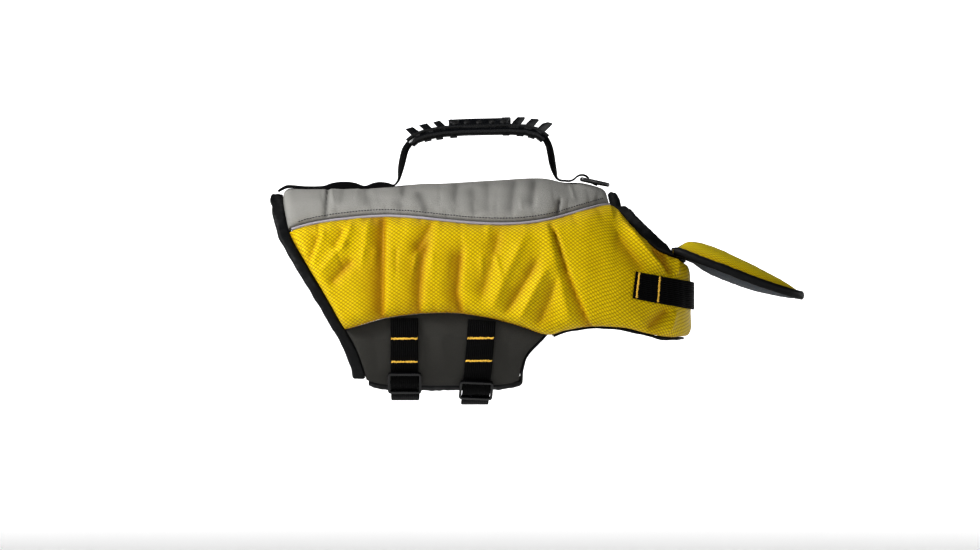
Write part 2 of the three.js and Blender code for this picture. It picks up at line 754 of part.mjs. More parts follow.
// A tape between two lines on the form, a little thicker along its middle.
function tape(lines, thickness) {
  const spots = lines.map(({ from, to }) => {
    const middle = { run: (from.run + to.run) / 2, angle: (from.angle + to.angle) / 2 };
    return [from, middle, to];
  });
  const heights = [thickness, thickness + 0.8, thickness];
  const outer = spots.map((row) => row.map((spot, i) => skin(spot, heights[i])));
  const inner = spots.map((row) => row.map((spot) => skin(spot, -0.6)));
  return slab(outer, inner);
}
const flipped = ({ from, to }) => ({ from: onLeft(from), to: onLeft(to) });

// The part of a tape that crosses the spine, from there down to a height on the right side.
function tapeOverSpine(line, start, downTo, shift, steps) {
  return Array.from({ length: steps + 1 }, (_, i) => {
    const spot = (distance) => {
      let x = start;
      let angle = 0;
      for (let k = 0; k < 60; k += 1) {
        angle = (i / steps) * angleAt(x, downTo);
        x = mix(x, line(form(runAt(x), angle).z) + distance, 0.6);
      }
      return { run: runAt(x), angle };
    };
    return { from: spot(0), to: spot(shift) };
  });
}
function rearBindingGeometry() {
  const right = tapeOverSpine(rearX, -120, -166.5, -rearBindingWidth, 18);
  return tape([...right.slice(1).reverse().map(flipped), ...right], bindingThickness);
}

// Round the neck in one length, open under the chest buckle.
function neckBindingGeometry() {
  const over = tapeOverSpine(saddleFrontX, 150, -15.5, neckBindingAhead, 6);
  const down = neckBindingLine.map(({ x, ahead, above }) => {
    const z = upperHeight(x) + 2 * seamGap;
    return { from: onRight(x, z), to: onRight(x + ahead, z + above) };
  });
  const onChest = (run) => {
    const { x } = planAt(run);
    const z = upperHeight(x) + 2 * seamGap;
    const rim = mix(neckBindingFront, z + 8.4, clamp((Math.abs(run) - 47) / 13));
    return { from: { run, angle: angleAt(x, z) }, to: { run, angle: angleAt(x, rim) } };
  };
  const slit = -chestEnd - chestSlit;
  const left = [...over.slice(1), ...down.filter(({ from }) => from.run < slit - 9), onChest(slit)];
  const chest = [-47, -36, -24, -12, 0, 12, 24, 36, 47, 54, chestEnd].map(onChest);
  return tape([...left.reverse().map(flipped), ...over, ...down, ...chest], bindingThickness);
}

// Under the lower edge of the chest, from the belly panel to a run on the chest.
function hemBindingGeometry(endRun) {
  const start = runAt(101);
  const steps = Math.round((endRun - start) / 12);
  const lines = Array.from({ length: steps + 1 }, (_, i) => {
    const run = mix(start, endRun, i / steps);
    const { x } = planAt(run);
    const z = lowerHeight(x) - 2.4 * seamGap;
    return { from: { run, angle: angleAt(x, z) }, to: { run, angle: angleAt(x, z - 2.4) } };
  });
  return tape(lines, 3.6);
}

// Along the lower edge of a belly panel and up its front edge.
function bellyBindingGeometry() {
  const lowerXs = [-69, -62, -52, -40, -24, -8, 8, 24, 40, 52, 60];
  const along = lowerXs.map((x) => {
    const z = bellyHeight(x) - seamGap;
    return { from: onRight(x, z), to: onRight(x, z - 4.6) };
  });
  const frontZs = [-169.4, -164, -158, -150, -143, -137, -131, -127.6];
  const up = frontZs.map((z) => {
    const x = bellyFrontX(z) + seamGap;
    const share = clamp((z + 169.4) / 6);
    return { from: onRight(x, z), to: onRight(x + mix(1.4, 1.9, share), z - mix(3.4, 0.4, share)) };
  });
  return tape([...along, ...up], 4);
}

// Places a flat stretch or a rigid piece on the sides, clear of everything under it.
function restOnSide(run, z, halfAcross, halfAlong, clearance) {
  const centre = sideSurface(run, z);
  const angle = angleAt(planAt(run).x, z);
  const out = outward(run, angle);
  let lift = 0;
  for (const a of [-1, -0.5, 0, 0.5, 1]) {
    for (const b of [-1, -0.5, 0, 0.5, 1]) {
      const under = sideSurface(run + a * halfAlong, z + b * halfAcross);
      lift = Math.max(lift, under.sub(centre).dot(out));
    }
  }
  const along = sideSurface(run + 12, z).sub(sideSurface(run - 12, z));
  along.addScaledVector(out, -along.dot(out)).normalize();
  const across = along.clone().cross(out).normalize();
  return { at: moved(centre, out, lift + clearance), out, along, across };
}

// Webbing turned back over a bar: the bar's centre, the way in and the outward direction.
function turnedBack(bar, inward, out, free, approach = 9) {
  const radius = buckle.barRadius + restGap + webThickness / 2;
  const points = [approach, 3.5].map((back) => moved(moved(bar, inward, -back), out, -radius));
  for (const share of [0, 0.25, 0.5, 0.75, 1]) {
    const angle = Math.PI * (share - 0.5);
    points.push(moved(moved(bar, inward, radius * Math.cos(angle)), out, radius * Math.sin(angle)));
  }
  const upper = webThickness + restGap - radius;
  points.push(moved(moved(bar, inward, -10), out, upper));
  points.push(moved(moved(bar, inward, -10 - free), out, upper));
  return points;
}

// Chest strap
const buckleRun = 112;
const chestFrame = restOnSide(buckleRun, strapHeight(planAt(buckleRun).x), 12, 18, restGap);
chestFrame.at.addScaledVector(chestFrame.out, restGap);
const barPoint = (frame, end) =>
  moved(moved(frame.at, frame.along, end * buckle.barAt), frame.out, buckle.barHeight);

function chestStrapStops(from, to, steps) {
  return Array.from({ length: steps + 1 }, (_, i) => {
    const run = mix(from, to, i / steps);
    const z = strapHeight(planAt(run).x);
    return restOnSide(run, z, webWidth / 2, 6, 2 * restGap + webThickness / 2);
  });
}
function chestStrapGeometry() {
  const stops = chestStrapStops(runAt(171.5), buckleRun - buckle.barAt - 19, 22);
  const loop = turnedBack(barPoint(chestFrame, -1), chestFrame.along, chestFrame.out, 8);
  return ribbon([...stops, ...withAcross(loop, chestFrame.across)]);
}
function chestStrapEndGeometry() {
  const stops = chestStrapStops(buckleRun + 58, buckleRun + buckle.barAt + 10, 4);
  const inward = chestFrame.along.clone().negate();
  const loop = turnedBack(barPoint(chestFrame, 1), inward, chestFrame.out, 8);
  return ribbon([...stops, ...withAcross(loop, chestFrame.across)]);
}

// Belly straps
const strapX = (strap, z) => mix(strap.top, strap.low, clamp((-112 - z) / (-112 - strap.sag)));
const strapPoint = (strap, y, z) => vec(strapX(strap, z), y, z);
function onBelly(strap, z, lift) {
  const x = strapX(strap, z);
  const points = [-webWidth / 2, 0, webWidth / 2].map((side) => {
    const spot = bellySpot(x + side, z);
    return skin(spot, spot.thickness + lift);
  });
  return vec(x, Math.min(...points.map((point) => point.y)) - restGap, points[1].z);
}
const strapStart = (strap) => {
  const edges = [-1, 0, 1].map((side) => lowerHeight(strap.top + (side * webWidth) / 2));
  return Math.min(...edges) - 2 * seamGap;
};
function slideFrame(strap) {
  const top = strapPoint(strap, -strap.slideTop[0], strap.slideTop[1]);
  const low = strapPoint(strap, -strap.slideLow[0], strap.slideLow[1]);
  const along = top.clone().sub(low).normalize();
  const out = along.clone().cross(vec(1, 0, 0)).normalize();
  if (out.z > 0) out.negate();
  return { at: top.clone().lerp(low, 0.5), along, out, across: along.clone().cross(out).normalize() };
}
function bellyBuckleFrame(strap) {
  const z = -145;
  const spot = bellySpot(strapX(strap, z), z);
  const left = onLeft(spot);
  const along = girthwise(left.run, left.angle);
  const out = outward(left.run, left.angle);
  const at = skin(left, spot.thickness + restGap + 0.4);
  return { at, along, out, across: along.clone().cross(out).normalize() };
}
function bellyStrapGeometry(strap, frame) {
  const lift = restGap + 0.3 + webThickness / 2;
  const start = strapStart(strap);
  const steps = 5;
  const down = Array.from({ length: steps + 1 }, (_, i) => {
    return onBelly(strap, mix(start, strap.leave, i / steps), lift);
  });
  const { at, along, out } = slideFrame(strap);
  const over = slide.centreHigh + 0.5 + webThickness / 2;
  const through = [
    [9.4, 0],
    [2.8, over],
    [-2.8, over],
    [-9.4, 0],
  ].map(([s, h]) => moved(moved(at, along, s), out, h));
  const [lowY, lowZ] = strap.slideLow;
  const bend = [
    [lowY, lowZ],
    [lowY - 6.5, mix(lowZ, strap.sag, 0.56)],
    [lowY - 16, mix(lowZ, strap.sag, 0.87)],
    [0, strap.sag],
  ];
  const right = bend.map(([y, z]) => strapPoint(strap, -y, z));
  const left = bend
    .slice(0, -1)
    .reverse()
    .map(([y, z]) => strapPoint(strap, y, z));
  const bar = barPoint(frame, 1);
  const inward = bar.clone().sub(left[left.length - 1]);
  inward.addScaledVector(frame.across, -inward.dot(frame.across)).normalize();
  const side = frame.across.clone().cross(inward).normalize();
  if (side.y < 0) side.negate();
  const loop = turnedBack(bar, inward, side, 8);
  const top = strapPoint(strap, -strap.slideTop[0], strap.slideTop[1]);
  const flat = withAcross([...down, top, ...through, ...right, ...left], vec(1, 0, 0));
  return ribbon([...flat, ...withAcross(loop, frame.across)]);
}
function bellyStrapEndGeometry(strap, frame) {
  const bar = barPoint(frame, -1);
  const start = onBelly(strap, strapStart(strap), 2 * restGap + 0.3 + webThickness / 2);
  start.y = -start.y;
  const loop = turnedBack(bar, frame.along, frame.out, 0.5, 5);
  return ribbon(withAcross([start, ...loop.slice(0, -2)], frame.across));
}

// A slide adjuster in its own axes, with the strap passing over its recessed centre bar.
function slideSolid() {
  const { width, height, bar, centreBar, low, high, centreHigh } = slide;
  const plate = roundedPlate(width, height, 3.5, low, high);
  const hole = box(-width / 2 + 2.2, width / 2 - 2.2, -height / 2 + bar, height / 2 - bar, low - 1, high + 1);
  const centre = box(-width / 2 + 1, width / 2 - 1, -centreBar / 2, centreBar / 2, low, centreHigh);
  return join(plate.subtract(hole), centre);
}

// The two halves of a side-release buckle, fastened. Their length runs from the prong's bar to the
// socket's bar.
function barBetween(y) {
  const geometry = new THREE.CylinderGeometry(buckle.barRadius, buckle.barRadius, 28, 8);
  geometry.rotateZ(Math.PI / 2);
  geometry.translate(0, y, buckle.barHeight);
  return toManifold(geometry);
}
function socketSolid() {
  const { halfWidth: w, low, high, barAt } = buckle;
  const body = roundedPlate(2 * w, 27, 4, low, high).translate([0, 4.5, 0]);
  const cavity = box(-13.2, 13.2, -10, 13, 2.9, 7.1);
  const windows = box(-w - 1, w + 1, 1, 10, 2.9, 7.1);
  const cheeks = join(box(-w, -14, 14, barAt + 2, 2.6, 7.2), box(14, w, 14, barAt + 2, 2.6, 7.2));
  return join(body.subtract(join(cavity, windows)), cheeks, barBetween(barAt));
}
function prongSolid() {
  const { halfWidth: w, barAt } = buckle;
  const base = roundedPlate(2 * w - 0.6, 8.5, 2, 1, 8.8).translate([0, -13.7, 0]);
  const arm = (x1, x2, end) => box(x1, x2, -12, end, 3.5, 6.5);
  const catches = join(box(-15.6, -9, 2, 8.6, 3.5, 6.5), box(9, 15.6, 2, 8.6, 3.5, 6.5));
  const arms = join(arm(-12.6, -9, 8.6), arm(9, 12.6, 8.6), arm(-2.5, 2.5, 11), catches);
  const cheeks = join(box(-w, -14, -barAt - 2, -12, 2.6, 7.2), box(14, w, -barAt - 2, -12, 2.6, 7.2));
  return join(base, arms, cheeks, barBetween(-barAt));
}

// Back webbing, with the handle's grip and the leash ring
const onSpine = ({ x, lift }) => vec(x, 0, spineHeight(x) + lift);
const webbingPath = [
  ...tailWebbing.map(onSpine),
  ...handleWebbing.map(({ x, z }) => vec(x, 0, z)),
  ...ringWebbing.map(({ x, z }) => vec(x, 0, z)),
];
const webbingStops = stopsAlong(webbingPath, () => sideways);
const handleStart = tailWebbing.length;

function backWebbingGeometry() {
  return sweep(webbingStops, (i) => webSection(handleWebbing[i - handleStart]?.curl ?? 0, 3));
}

const bothSides = (half) => [...half, ...half.map(([a, h]) => [-a, h]).reverse()];

function gripGeometry() {
  const stops = webbingStops.slice(handleStart + gripStops.first, handleStart + gripStops.last + 1);
  const beyond = (stop, next) => ({ ...stop, at: stop.at.clone().lerp(next.at, -0.4) });
  const last = stops.length - 1;
  const longer = [beyond(stops[0], stops[1]), ...stops.slice(1, -1), beyond(stops[last], stops[last - 1])];
  const sleeve = toManifold(sweep(stops, () => bothSides(gripSection)));
  const channel = toManifold(sweep(longer, () => oval(gripChannel.halfWidth, gripChannel.halfHeight, 10)));
  const lineAt = smooth(handleWebbing.slice(gripStops.first, gripStops.last + 1), "x", "z");
  const squareAt = (x) => {
    const out = vec(lineAt(x - 1) - lineAt(x + 1), 0, 2).normalize();
    return { at: vec(x, 0, lineAt(x)), across: sideways, out, along: out.clone().cross(sideways) };
  };
  const humpStops = Array.from({ length: 7 }, (_, i) => squareAt(mix(gripHump.from, gripHump.to, i / 6)));
  const hump = toManifold(sweep(humpStops, () => bothSides(gripHumpSection)));
  const windows = gripWindows.at.flatMap((x) => {
    const shape = oval(gripWindows.halfWidth, gripWindows.halfHeight, 10, gripWindows.lift);
    const hole = wasm.Manifold.extrude([shape], 10).rotate([90, 0, 0]);
    return [-gripWindows.between / 2, 10 + gripWindows.between / 2].map((y) => {
      return hole.translate([x, y, lineAt(x)]);
    });
  });
  const fins = gripFins.map((corners) => {
    return wasm.Manifold.extrude([corners], 17.6, 0, 0, [1, 1], true).rotate([90, 0, 0]);
  });
  const lugs = gripLugs.map(({ x, low }) => {
    return toManifold(setAt(box(-5.6, 5.6, -3.3, 3.3, low, -4), squareAt(x)));
  });
  const parts = join(sleeve, hump, ...fins, ...lugs);
  return fromManifold(parts.subtract(join(channel, ...windows)));
}

function leashRingGeometry() {
  const { x, z, halfLength: h } = ringBar;
  const straight = [
    [0, -h + 4],
    [0, 0],
    [0, h - 4],
    [0.9, h - 1],
    [3.4, h],
    [ringReach - h, h],
  ];
  const bow = Array.from({ length: 9 }, (_, i) => {
    const angle = Math.PI / 2 - (Math.PI * (i + 1)) / 10;
    return [ringReach - h + h * Math.cos(angle), h * Math.sin(angle)];
  });
  const back = [
    [ringReach - h, -h],
    [3.4, -h],
    [0.9, -h + 1],
  ];
  const pitch = (ringPitch * Math.PI) / 180;
  const up = vec(-Math.sin(pitch), 0, Math.cos(pitch));
  const points = [...straight, ...bow, ...back].map(([ahead, y]) =>
    vec(x + ahead * Math.cos(pitch), y, z + ahead * Math.sin(pitch)),
  );
  const count = points.length;
  const stops = points.map((at, i) => {
    const forward = points[(i + 1) % count].clone().sub(points[(i + count - 1) % count]).normalize();
    return { at, across: up.clone().cross(forward).normalize(), out: up };
  });
  return sweep(stops, () => oval(wireRadius, wireRadius, 8), true);
}

// Chin float
function chestX(y) {
  const side = clamp(Math.abs(y) / halfWidth(noseStart));
  const reach = Math.sqrt(1 - side ** noseExponent) ** (2 / noseExponent);
  return mix(noseStart, noseTip, reach);
}
function floatPoint(row, share, outside = 0) {
  const y = share * (row.halfWidth + outside);
  const toBase = clamp((260 - row.x) / (260 - noseTip)) ** 2;
  return vec(row.x + (chestX(y) - noseTip) * toBase, y, row.z);
}
function floatGeometry(columns) {
  const sheet = (column, side) =>
    floatSections.map((row) =>
      Array.from({ length: columns + 1 }, (_, j) => {
        const share = 2 * eased(j, columns, 0.6) - 1;
        const crown = (1 - Math.abs(share) ** 2.6) ** 0.75;
        return moved(floatPoint(row, share), vec(0, 0, side), floatEdge + (row[column] - floatEdge) * crown);
      }),
    );
  return slab(sheet("above", 1), sheet("below", -1));
}
function floatBindingGeometry() {
  const right = floatSections.map((row) => floatPoint(row, -1));
  const edge = [...right, ...right.slice().reverse().map((point) => vec(point.x, -point.y, point.z))];
  const offset = seamGap + floatTape.width / 2 + 0.3;
  const stops = edge.map((point, i) => {
    const before = edge[Math.max(0, i - 1)];
    const after = edge[Math.min(edge.length - 1, i + 1)];
    const across = vec(after.y - before.y, before.x - after.x, 0).normalize();
    return { at: moved(point, across, offset), across, out: vec(0, 0, 1) };
  });
  const [w, h] = [floatTape.width / 2, floatTape.height / 2];
  const section = [
    [-w, -h],
    [w, -h],
    [w + 0.6, 0],
    [w, h],
    [-w, h],
    [-w, 0],
  ];
  return sweep(stops, () => section);
}

const jacket = new THREE.Group();
jacket.name = "dog_life_jacket";
function add(name, geometry, finish) {
  const bare = geometry.clone();
  bare.computeVertexNormals();
  const mesh = new THREE.Mesh(bare, new THREE.MeshStandardMaterial(finishes[finish]));
  mesh.name = name;
  jacket.add(mesh);
}

const belly = bellyGeometry(12, 5);
const piping = pipingGeometry();
const bellyBinding = bellyBindingGeometry();
add("back_panel", saddleGeometry(12), "saddle");
add("side_panel_right", sideGeometry(rightSide, 9), "side");
add("side_panel_left", mirrored(sideGeometry(leftSide, 9)), "side");
add("belly_panel_right", belly, "belly");
add("belly_panel_left", mirrored(belly), "belly");
add("piping_right", piping, "piping");
add("piping_left", mirrored(piping), "piping");
add("rear_binding", rearBindingGeometry(), "binding");
add("neck_binding", neckBindingGeometry(), "binding");
add("belly_binding_right", bellyBinding, "binding");
add("belly_binding_left", mirrored(bellyBinding), "binding");
add("hem_binding_right", hemBindingGeometry(chestEnd), "binding");
add("hem_binding_left", mirrored(hemBindingGeometry(-chestEnd - chestSlit)), "binding");
add("chin_float", floatGeometry(10), "side");
add("float_binding", floatBindingGeometry(), "binding");

add("chest_strap", chestStrapGeometry(), "webbing");
add("chest_buckle_socket", setAt(socketSolid().rotate([0, 0, 180]), chestFrame), "plastic");
add("chest_buckle_prong", setAt(prongSolid().rotate([0, 0, 180]), chestFrame), "plastic");
add("chest_strap_end", chestStrapEndGeometry(), "webbing");

for (const [name, strap] of Object.entries(bellyStraps)) {
  const frame = bellyBuckleFrame(strap);
  add(`belly_strap_${name}`, bellyStrapGeometry(strap, frame), "webbing");
  add(`slide_${name}`, setAt(slideSolid(), slideFrame(strap)), "plastic");
  add(`belly_buckle_${name}_socket`, setAt(socketSolid(), frame), "plastic");
  add(`belly_buckle_${name}_prong`, setAt(prongSolid(), frame), "plastic");
  add(`belly_strap_${name}_end`, bellyStrapEndGeometry(strap, frame), "webbing");
}

add("back_webbing", backWebbingGeometry(), "webbing");
add("handle_grip", gripGeometry(), "rubber");
add("leash_ring", leashRingGeometry(), "ring");

export default jacket;
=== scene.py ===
# A dog's life jacket, filled out as it is worn. Tables are in millimetres, finished pieces in metres.
import math
import bpy
import numpy as np
from mathutils import Matrix, Vector


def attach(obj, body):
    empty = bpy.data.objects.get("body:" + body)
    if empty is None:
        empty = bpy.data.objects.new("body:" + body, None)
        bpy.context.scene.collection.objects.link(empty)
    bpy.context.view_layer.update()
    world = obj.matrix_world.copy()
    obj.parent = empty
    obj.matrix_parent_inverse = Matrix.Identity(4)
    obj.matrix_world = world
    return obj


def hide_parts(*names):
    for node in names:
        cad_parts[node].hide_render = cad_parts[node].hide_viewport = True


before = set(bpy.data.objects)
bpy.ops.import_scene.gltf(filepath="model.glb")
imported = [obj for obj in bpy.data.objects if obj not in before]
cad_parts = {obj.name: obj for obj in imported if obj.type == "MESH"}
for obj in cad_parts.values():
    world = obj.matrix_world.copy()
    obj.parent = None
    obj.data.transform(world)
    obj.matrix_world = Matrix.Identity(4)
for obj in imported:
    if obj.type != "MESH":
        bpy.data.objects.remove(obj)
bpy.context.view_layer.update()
mm = 0.001

# Camera: square to the right side, far enough back for the sides to keep their proportions
viewing = {"distance": 6.0, "seenWidth": 0.911, "lookAt": (0.0428, 0.0, -0.0744), "rise": 0.0}
bpy.ops.object.camera_add(
    location=(viewing["lookAt"][0], -viewing["distance"], viewing["lookAt"][2] + viewing["rise"])
)
camera = bpy.context.object
camera.name = "viewCamera"
camera.data.sensor_width = 36
camera.data.lens = 36 * viewing["distance"] / viewing["seenWidth"]
camera.rotation_euler = (math.pi / 2 - math.atan2(viewing["rise"], viewing["distance"]), 0, 0)
camera.data.clip_end = 30
bpy.context.scene.camera = camera
bpy.context.scene.view_settings.view_transform = "Standard"
bpy.context.scene.view_settings.gamma = 0.88
print("camera set")


# The worn form, as in the solids

sections = [
    {"x": -170, "halfWidth": 54, "spine": -4.5, "squareness": 2.25},
    {"x": -110, "halfWidth": 64, "spine": -4.5, "squareness": 2.3},
    {"x": -60, "halfWidth": 70, "spine": -3.6, "squareness": 2.3},
    {"x": -20, "halfWidth": 73, "spine": -0.4, "squareness": 2.3},
    {"x": 0, "halfWidth": 74, "spine": 0, "squareness": 2.3},
    {"x": 50, "halfWidth": 75, "spine": 3, "squareness": 2.3},
    {"x": 90, "halfWidth": 75, "spine": 4.8, "squareness": 2.2},
    {"x": 110, "halfWidth": 74.5, "spine": 0.9, "squareness": 2.1},
    {"x": 127, "halfWidth": 74, "spine": 0.4, "squareness": 2},
    {"x": 145, "halfWidth": 73, "spine": -4.5, "squareness": 1.9},
    {"x": 158, "halfWidth": 72, "spine": -9, "squareness": 1.85},
    {"x": 220, "halfWidth": 70, "spine": -14, "squareness": 1.85},
]
upperLine = [
    (-145, -37.5), (-119, -31), (-86, -26.8), (-54, -24.8), (-28, -25.8), (0, -28.5), (33, -31),
    (63, -31.3), (89, -28.8), (115, -23.3), (135, -17.6), (148, -15), (156, -16.8), (163, -22.8),
    (170.5, -30.7), (183.6, -43.7), (192.7, -51.6), (203, -57), (212, -60.5), (219, -64),
]
lowerLine = [
    (-92, -124.2), (-80, -120.9), (-54, -113.7), (-28, -110), (0, -108.6), (18, -109.6), (44, -113.4),
    (71, -120.2), (96, -127.6), (112, -123.6), (135, -120.2), (165, -121.5), (185, -126.7),
    (203, -130.6), (219, -131),
]
bellyLine = [(-72, -168), (-60, -171.6), (-40, -173), (40, -173), (60, -171.6), (70, -168.5)]
rearLine = [
    (-178, -68.8), (-156, -74.7), (-138.6, -81.5), (-124, -90.2), (-89, -111), (-65.5, -125.6),
    (-39, -141), (-20, -146.5), (-4, -149.7), (6, -149.7),
]
saddleFrontLine = [(-24, 161), (-16, 155), (-10, 151), (-4, 148.8), (5, 148.4)]
bellyFrontLine = [(-178, 66), (-172, 69.3), (-159, 71.3), (-145, 76.8), (-136.5, 85), (-128, 94.4)]
formFloor, noseStart, noseTip, noseExponent = -186, 120, 219, 2.8
seam = 0.4
chestEnd, chestSlit = 62, 3


def smooth(points):
    xs, ys = (np.array(column, float) for column in zip(*points))
    slopes = np.empty_like(ys)
    slopes[1:-1] = (ys[2:] - ys[:-2]) / (xs[2:] - xs[:-2])
    slopes[0] = (ys[1] - ys[0]) / (xs[1] - xs[0])
    slopes[-1] = (ys[-1] - ys[-2]) / (xs[-1] - xs[-2])

    def at(x):
        x = np.asarray(x, float)
        i = np.clip(np.searchsorted(xs, x) - 1, 0, len(xs) - 2)
        span = xs[i + 1] - xs[i]
        t = np.clip((x - xs[i]) / span, 0, 1)
        start = ys[i] * (2 * t**3 - 3 * t**2 + 1) + slopes[i] * span * (t**3 - 2 * t**2 + t)
        return start + ys[i + 1] * (3 * t**2 - 2 * t**3) + slopes[i + 1] * span * (t**3 - t**2)

    return at


halfWidth = smooth([(row["x"], row["halfWidth"]) for row in sections])
spineHeight = smooth([(row["x"], row["spine"]) for row in sections])
squareness = smooth([(row["x"], row["squareness"]) for row in sections])
upperHeight, lowerHeight, bellyHeight = smooth(upperLine), smooth(lowerLine), smooth(bellyLine)
rearX, saddleFrontX, bellyFrontX = smooth(rearLine), smooth(saddleFrontLine), smooth(bellyFrontLine)


def mix(a, b, t):
    return a + (b - a) * t


def unit(t):
    return np.clip(t, 0, 1)


def signedPower(value, power):
    return np.sign(value) * np.abs(value) ** power


# The form seen from above: the run is 0 at the centre of the chest and negative along the right side
turn = np.linspace(0, math.pi / 2, 241)
noseX = mix(noseStart, noseTip, np.sin(turn) ** (2 / noseExponent))
noseY = -halfWidth(noseStart) * np.clip(np.cos(turn), 0, 1) ** (2 / noseExponent)
outlineX = np.concatenate([np.arange(-200, noseStart, 4.0), noseX])
outlineY = np.concatenate([-halfWidth(np.arange(-200, noseStart, 4.0)), noseY])
outlineY[-1] = 0
stride = np.hypot(np.diff(outlineX), np.diff(outlineY))
outlineRun = np.concatenate([-np.cumsum(stride[::-1])[::-1], [0]])


def planX(run):
    return np.interp(-np.abs(run), outlineRun, outlineX)


def planY(run):
    return np.where(run > 0, -1, 1) * np.interp(-np.abs(run), outlineRun, outlineY)


def runAt(x):
    return np.interp(x, outlineX, outlineRun)


def form(run, angle):
    x, y = planX(run), planY(run)
    power = 2 / squareness(x)
    half = (spineHeight(x) - formFloor) / 2
    across = y * signedPower(np.sin(angle), power)
    return np.stack([x, across, formFloor + half + half * signedPower(np.cos(angle), power)], -1)


def angleAt(x, z):
    half = (spineHeight(x) - formFloor) / 2
    share = np.clip((z - formFloor - half) / half, -1, 1)
    return np.arccos(np.clip(signedPower(share, squareness(x) / 2), -1, 1))


def normalised(vectors):
    return vectors / np.maximum(np.linalg.norm(vectors, axis=-1, keepdims=True), 1e-9)


def outward(run, angle):
    girth = form(run, angle + 0.003) - form(run, angle - 0.003)
    length = form(run + 0.6, angle) - form(run - 0.6, angle)
    return normalised(np.cross(girth, length))


def skin(run, angle, height):
    return form(run, angle) + outward(run, angle) * np.asarray(height)[..., None]


def girthLength(run, fromAngle, toAngle):
    total = np.zeros_like(run)
    before = form(run, fromAngle)
    for k in range(1, 11):
        now = form(run, mix(fromAngle, toAngle, k / 10))
        total += np.linalg.norm(now - before, axis=-1)
        before = now
    return total


def rise(distance, reach):
    return np.sqrt(np.maximum(0, 1 - (1 - unit(distance / reach)) ** 2))


def eased(share, ease):
    return mix(share, 0.5 - 0.5 * np.cos(np.pi * share), ease)


def wobble(x, z, scale, seed):
    chance = np.random.default_rng(seed)
    total = np.zeros_like(x)
    for k in range(6):
        heading = chance.uniform(0, 2 * math.pi)
        wave = scale * chance.uniform(0.6, 1.6)
        phase = chance.uniform(0, 2 * math.pi)
        total += np.sin((x * math.cos(heading) + z * math.sin(heading)) * 2 * math.pi / wave + phase)
    return total / 6


# Creases are laid along paths seen from the side. "before" and "after" are how far each slope spreads
# to the rear and to the front of the path.
def creaseHeight(x, z, creases):
    total = np.zeros_like(x)
    for crease in creases:
        path = np.array(crease["path"], float)
        legs = np.linalg.norm(np.diff(path, axis=0), axis=1)
        start = np.concatenate([[0], np.cumsum(legs)])
        best = np.full(x.shape, 1e9)
        signed = np.zeros_like(x)
        share = np.zeros_like(x)
        for i, leg in enumerate(legs):
            way = (path[i + 1] - path[i]) / leg
            dx, dz = x - path[i][0], z - path[i][1]
            ahead = np.clip(dx * way[0] + dz * way[1], 0, leg)
            offX, offZ = dx - ahead * way[0], dz - ahead * way[1]
            off = np.hypot(offX, offZ)
            nearer = off < best
            side = np.where(way[0] * dz - way[1] * dx < 0, -1.0, 1.0)
            best = np.where(nearer, off, best)
            signed = np.where(nearer, off * side, signed)
            share = np.where(nearer, (start[i] + ahead) / start[-1], share)
        spread = np.where(signed < 0, crease["before"], crease["after"])
        fade = crease.get("fade", 0.22)
        ends = unit(share / fade + crease.get("top", 0.25)) * unit((1 - share) / fade + crease.get("bottom", 0.1))
        total += crease["rise"] * np.exp(-(np.abs(signed / spread) ** crease.get("power", 1.35))) * ends
    return total


# Short puckers that run off an edge, some up and some down
def puckersAlong(edge, fromX, toX, count, reach, rise, seed):
    chance = np.random.default_rng(seed)
    puckers = []
    for k in range(count):
        x = mix(fromX, toX, (k + chance.uniform(0.1, 0.9)) / count)
        z = float(edge(x))
        long, lean = reach * chance.uniform(0.45, 1.25), chance.uniform(-0.45, 0.25)
        deep = rise * chance.uniform(0.45, 1.2) * (-1 if k % 3 else 0.8)
        puckers.append({
            "path": [(x, z), (x + lean * long, z + long)], "rise": deep, "top": 1, "bottom": 0, "fade": 0.7,
            "before": chance.uniform(1.2, 3.2), "after": chance.uniform(1.0, 2.2),
        })
    return puckers


# Building cloth

def selectOnly(piece):
    bpy.ops.object.select_all(action="DESELECT")
    piece.select_set(True)
    bpy.context.view_layer.objects.active = piece


def facesOut(piece):
    selectOnly(piece)
    bpy.ops.object.mode_set(mode="EDIT")
    bpy.ops.mesh.select_all(action="SELECT")
    bpy.ops.mesh.normals_make_consistent(inside=False)
    bpy.ops.object.mode_set(mode="OBJECT")


def finished(piece, body, nodes, smoothAngle=50):
    selectOnly(piece)
    bpy.ops.object.shade_smooth_by_angle(angle=math.radians(smoothAngle))
    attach(piece, body)
    if nodes:
        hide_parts(*nodes)
    return piece


def giveClothMap(piece, perVertex):
    mesh = piece.data
    while mesh.uv_layers:
        mesh.uv_layers.remove(mesh.uv_layers[0])
    layer = mesh.uv_layers.new(name="cloth")
    corners = np.empty(len(mesh.loops), np.int32)
    mesh.loops.foreach_get("vertex_index", corners)
    layer.data.foreach_set("uv", perVertex[corners].astype(np.float32).ravel())


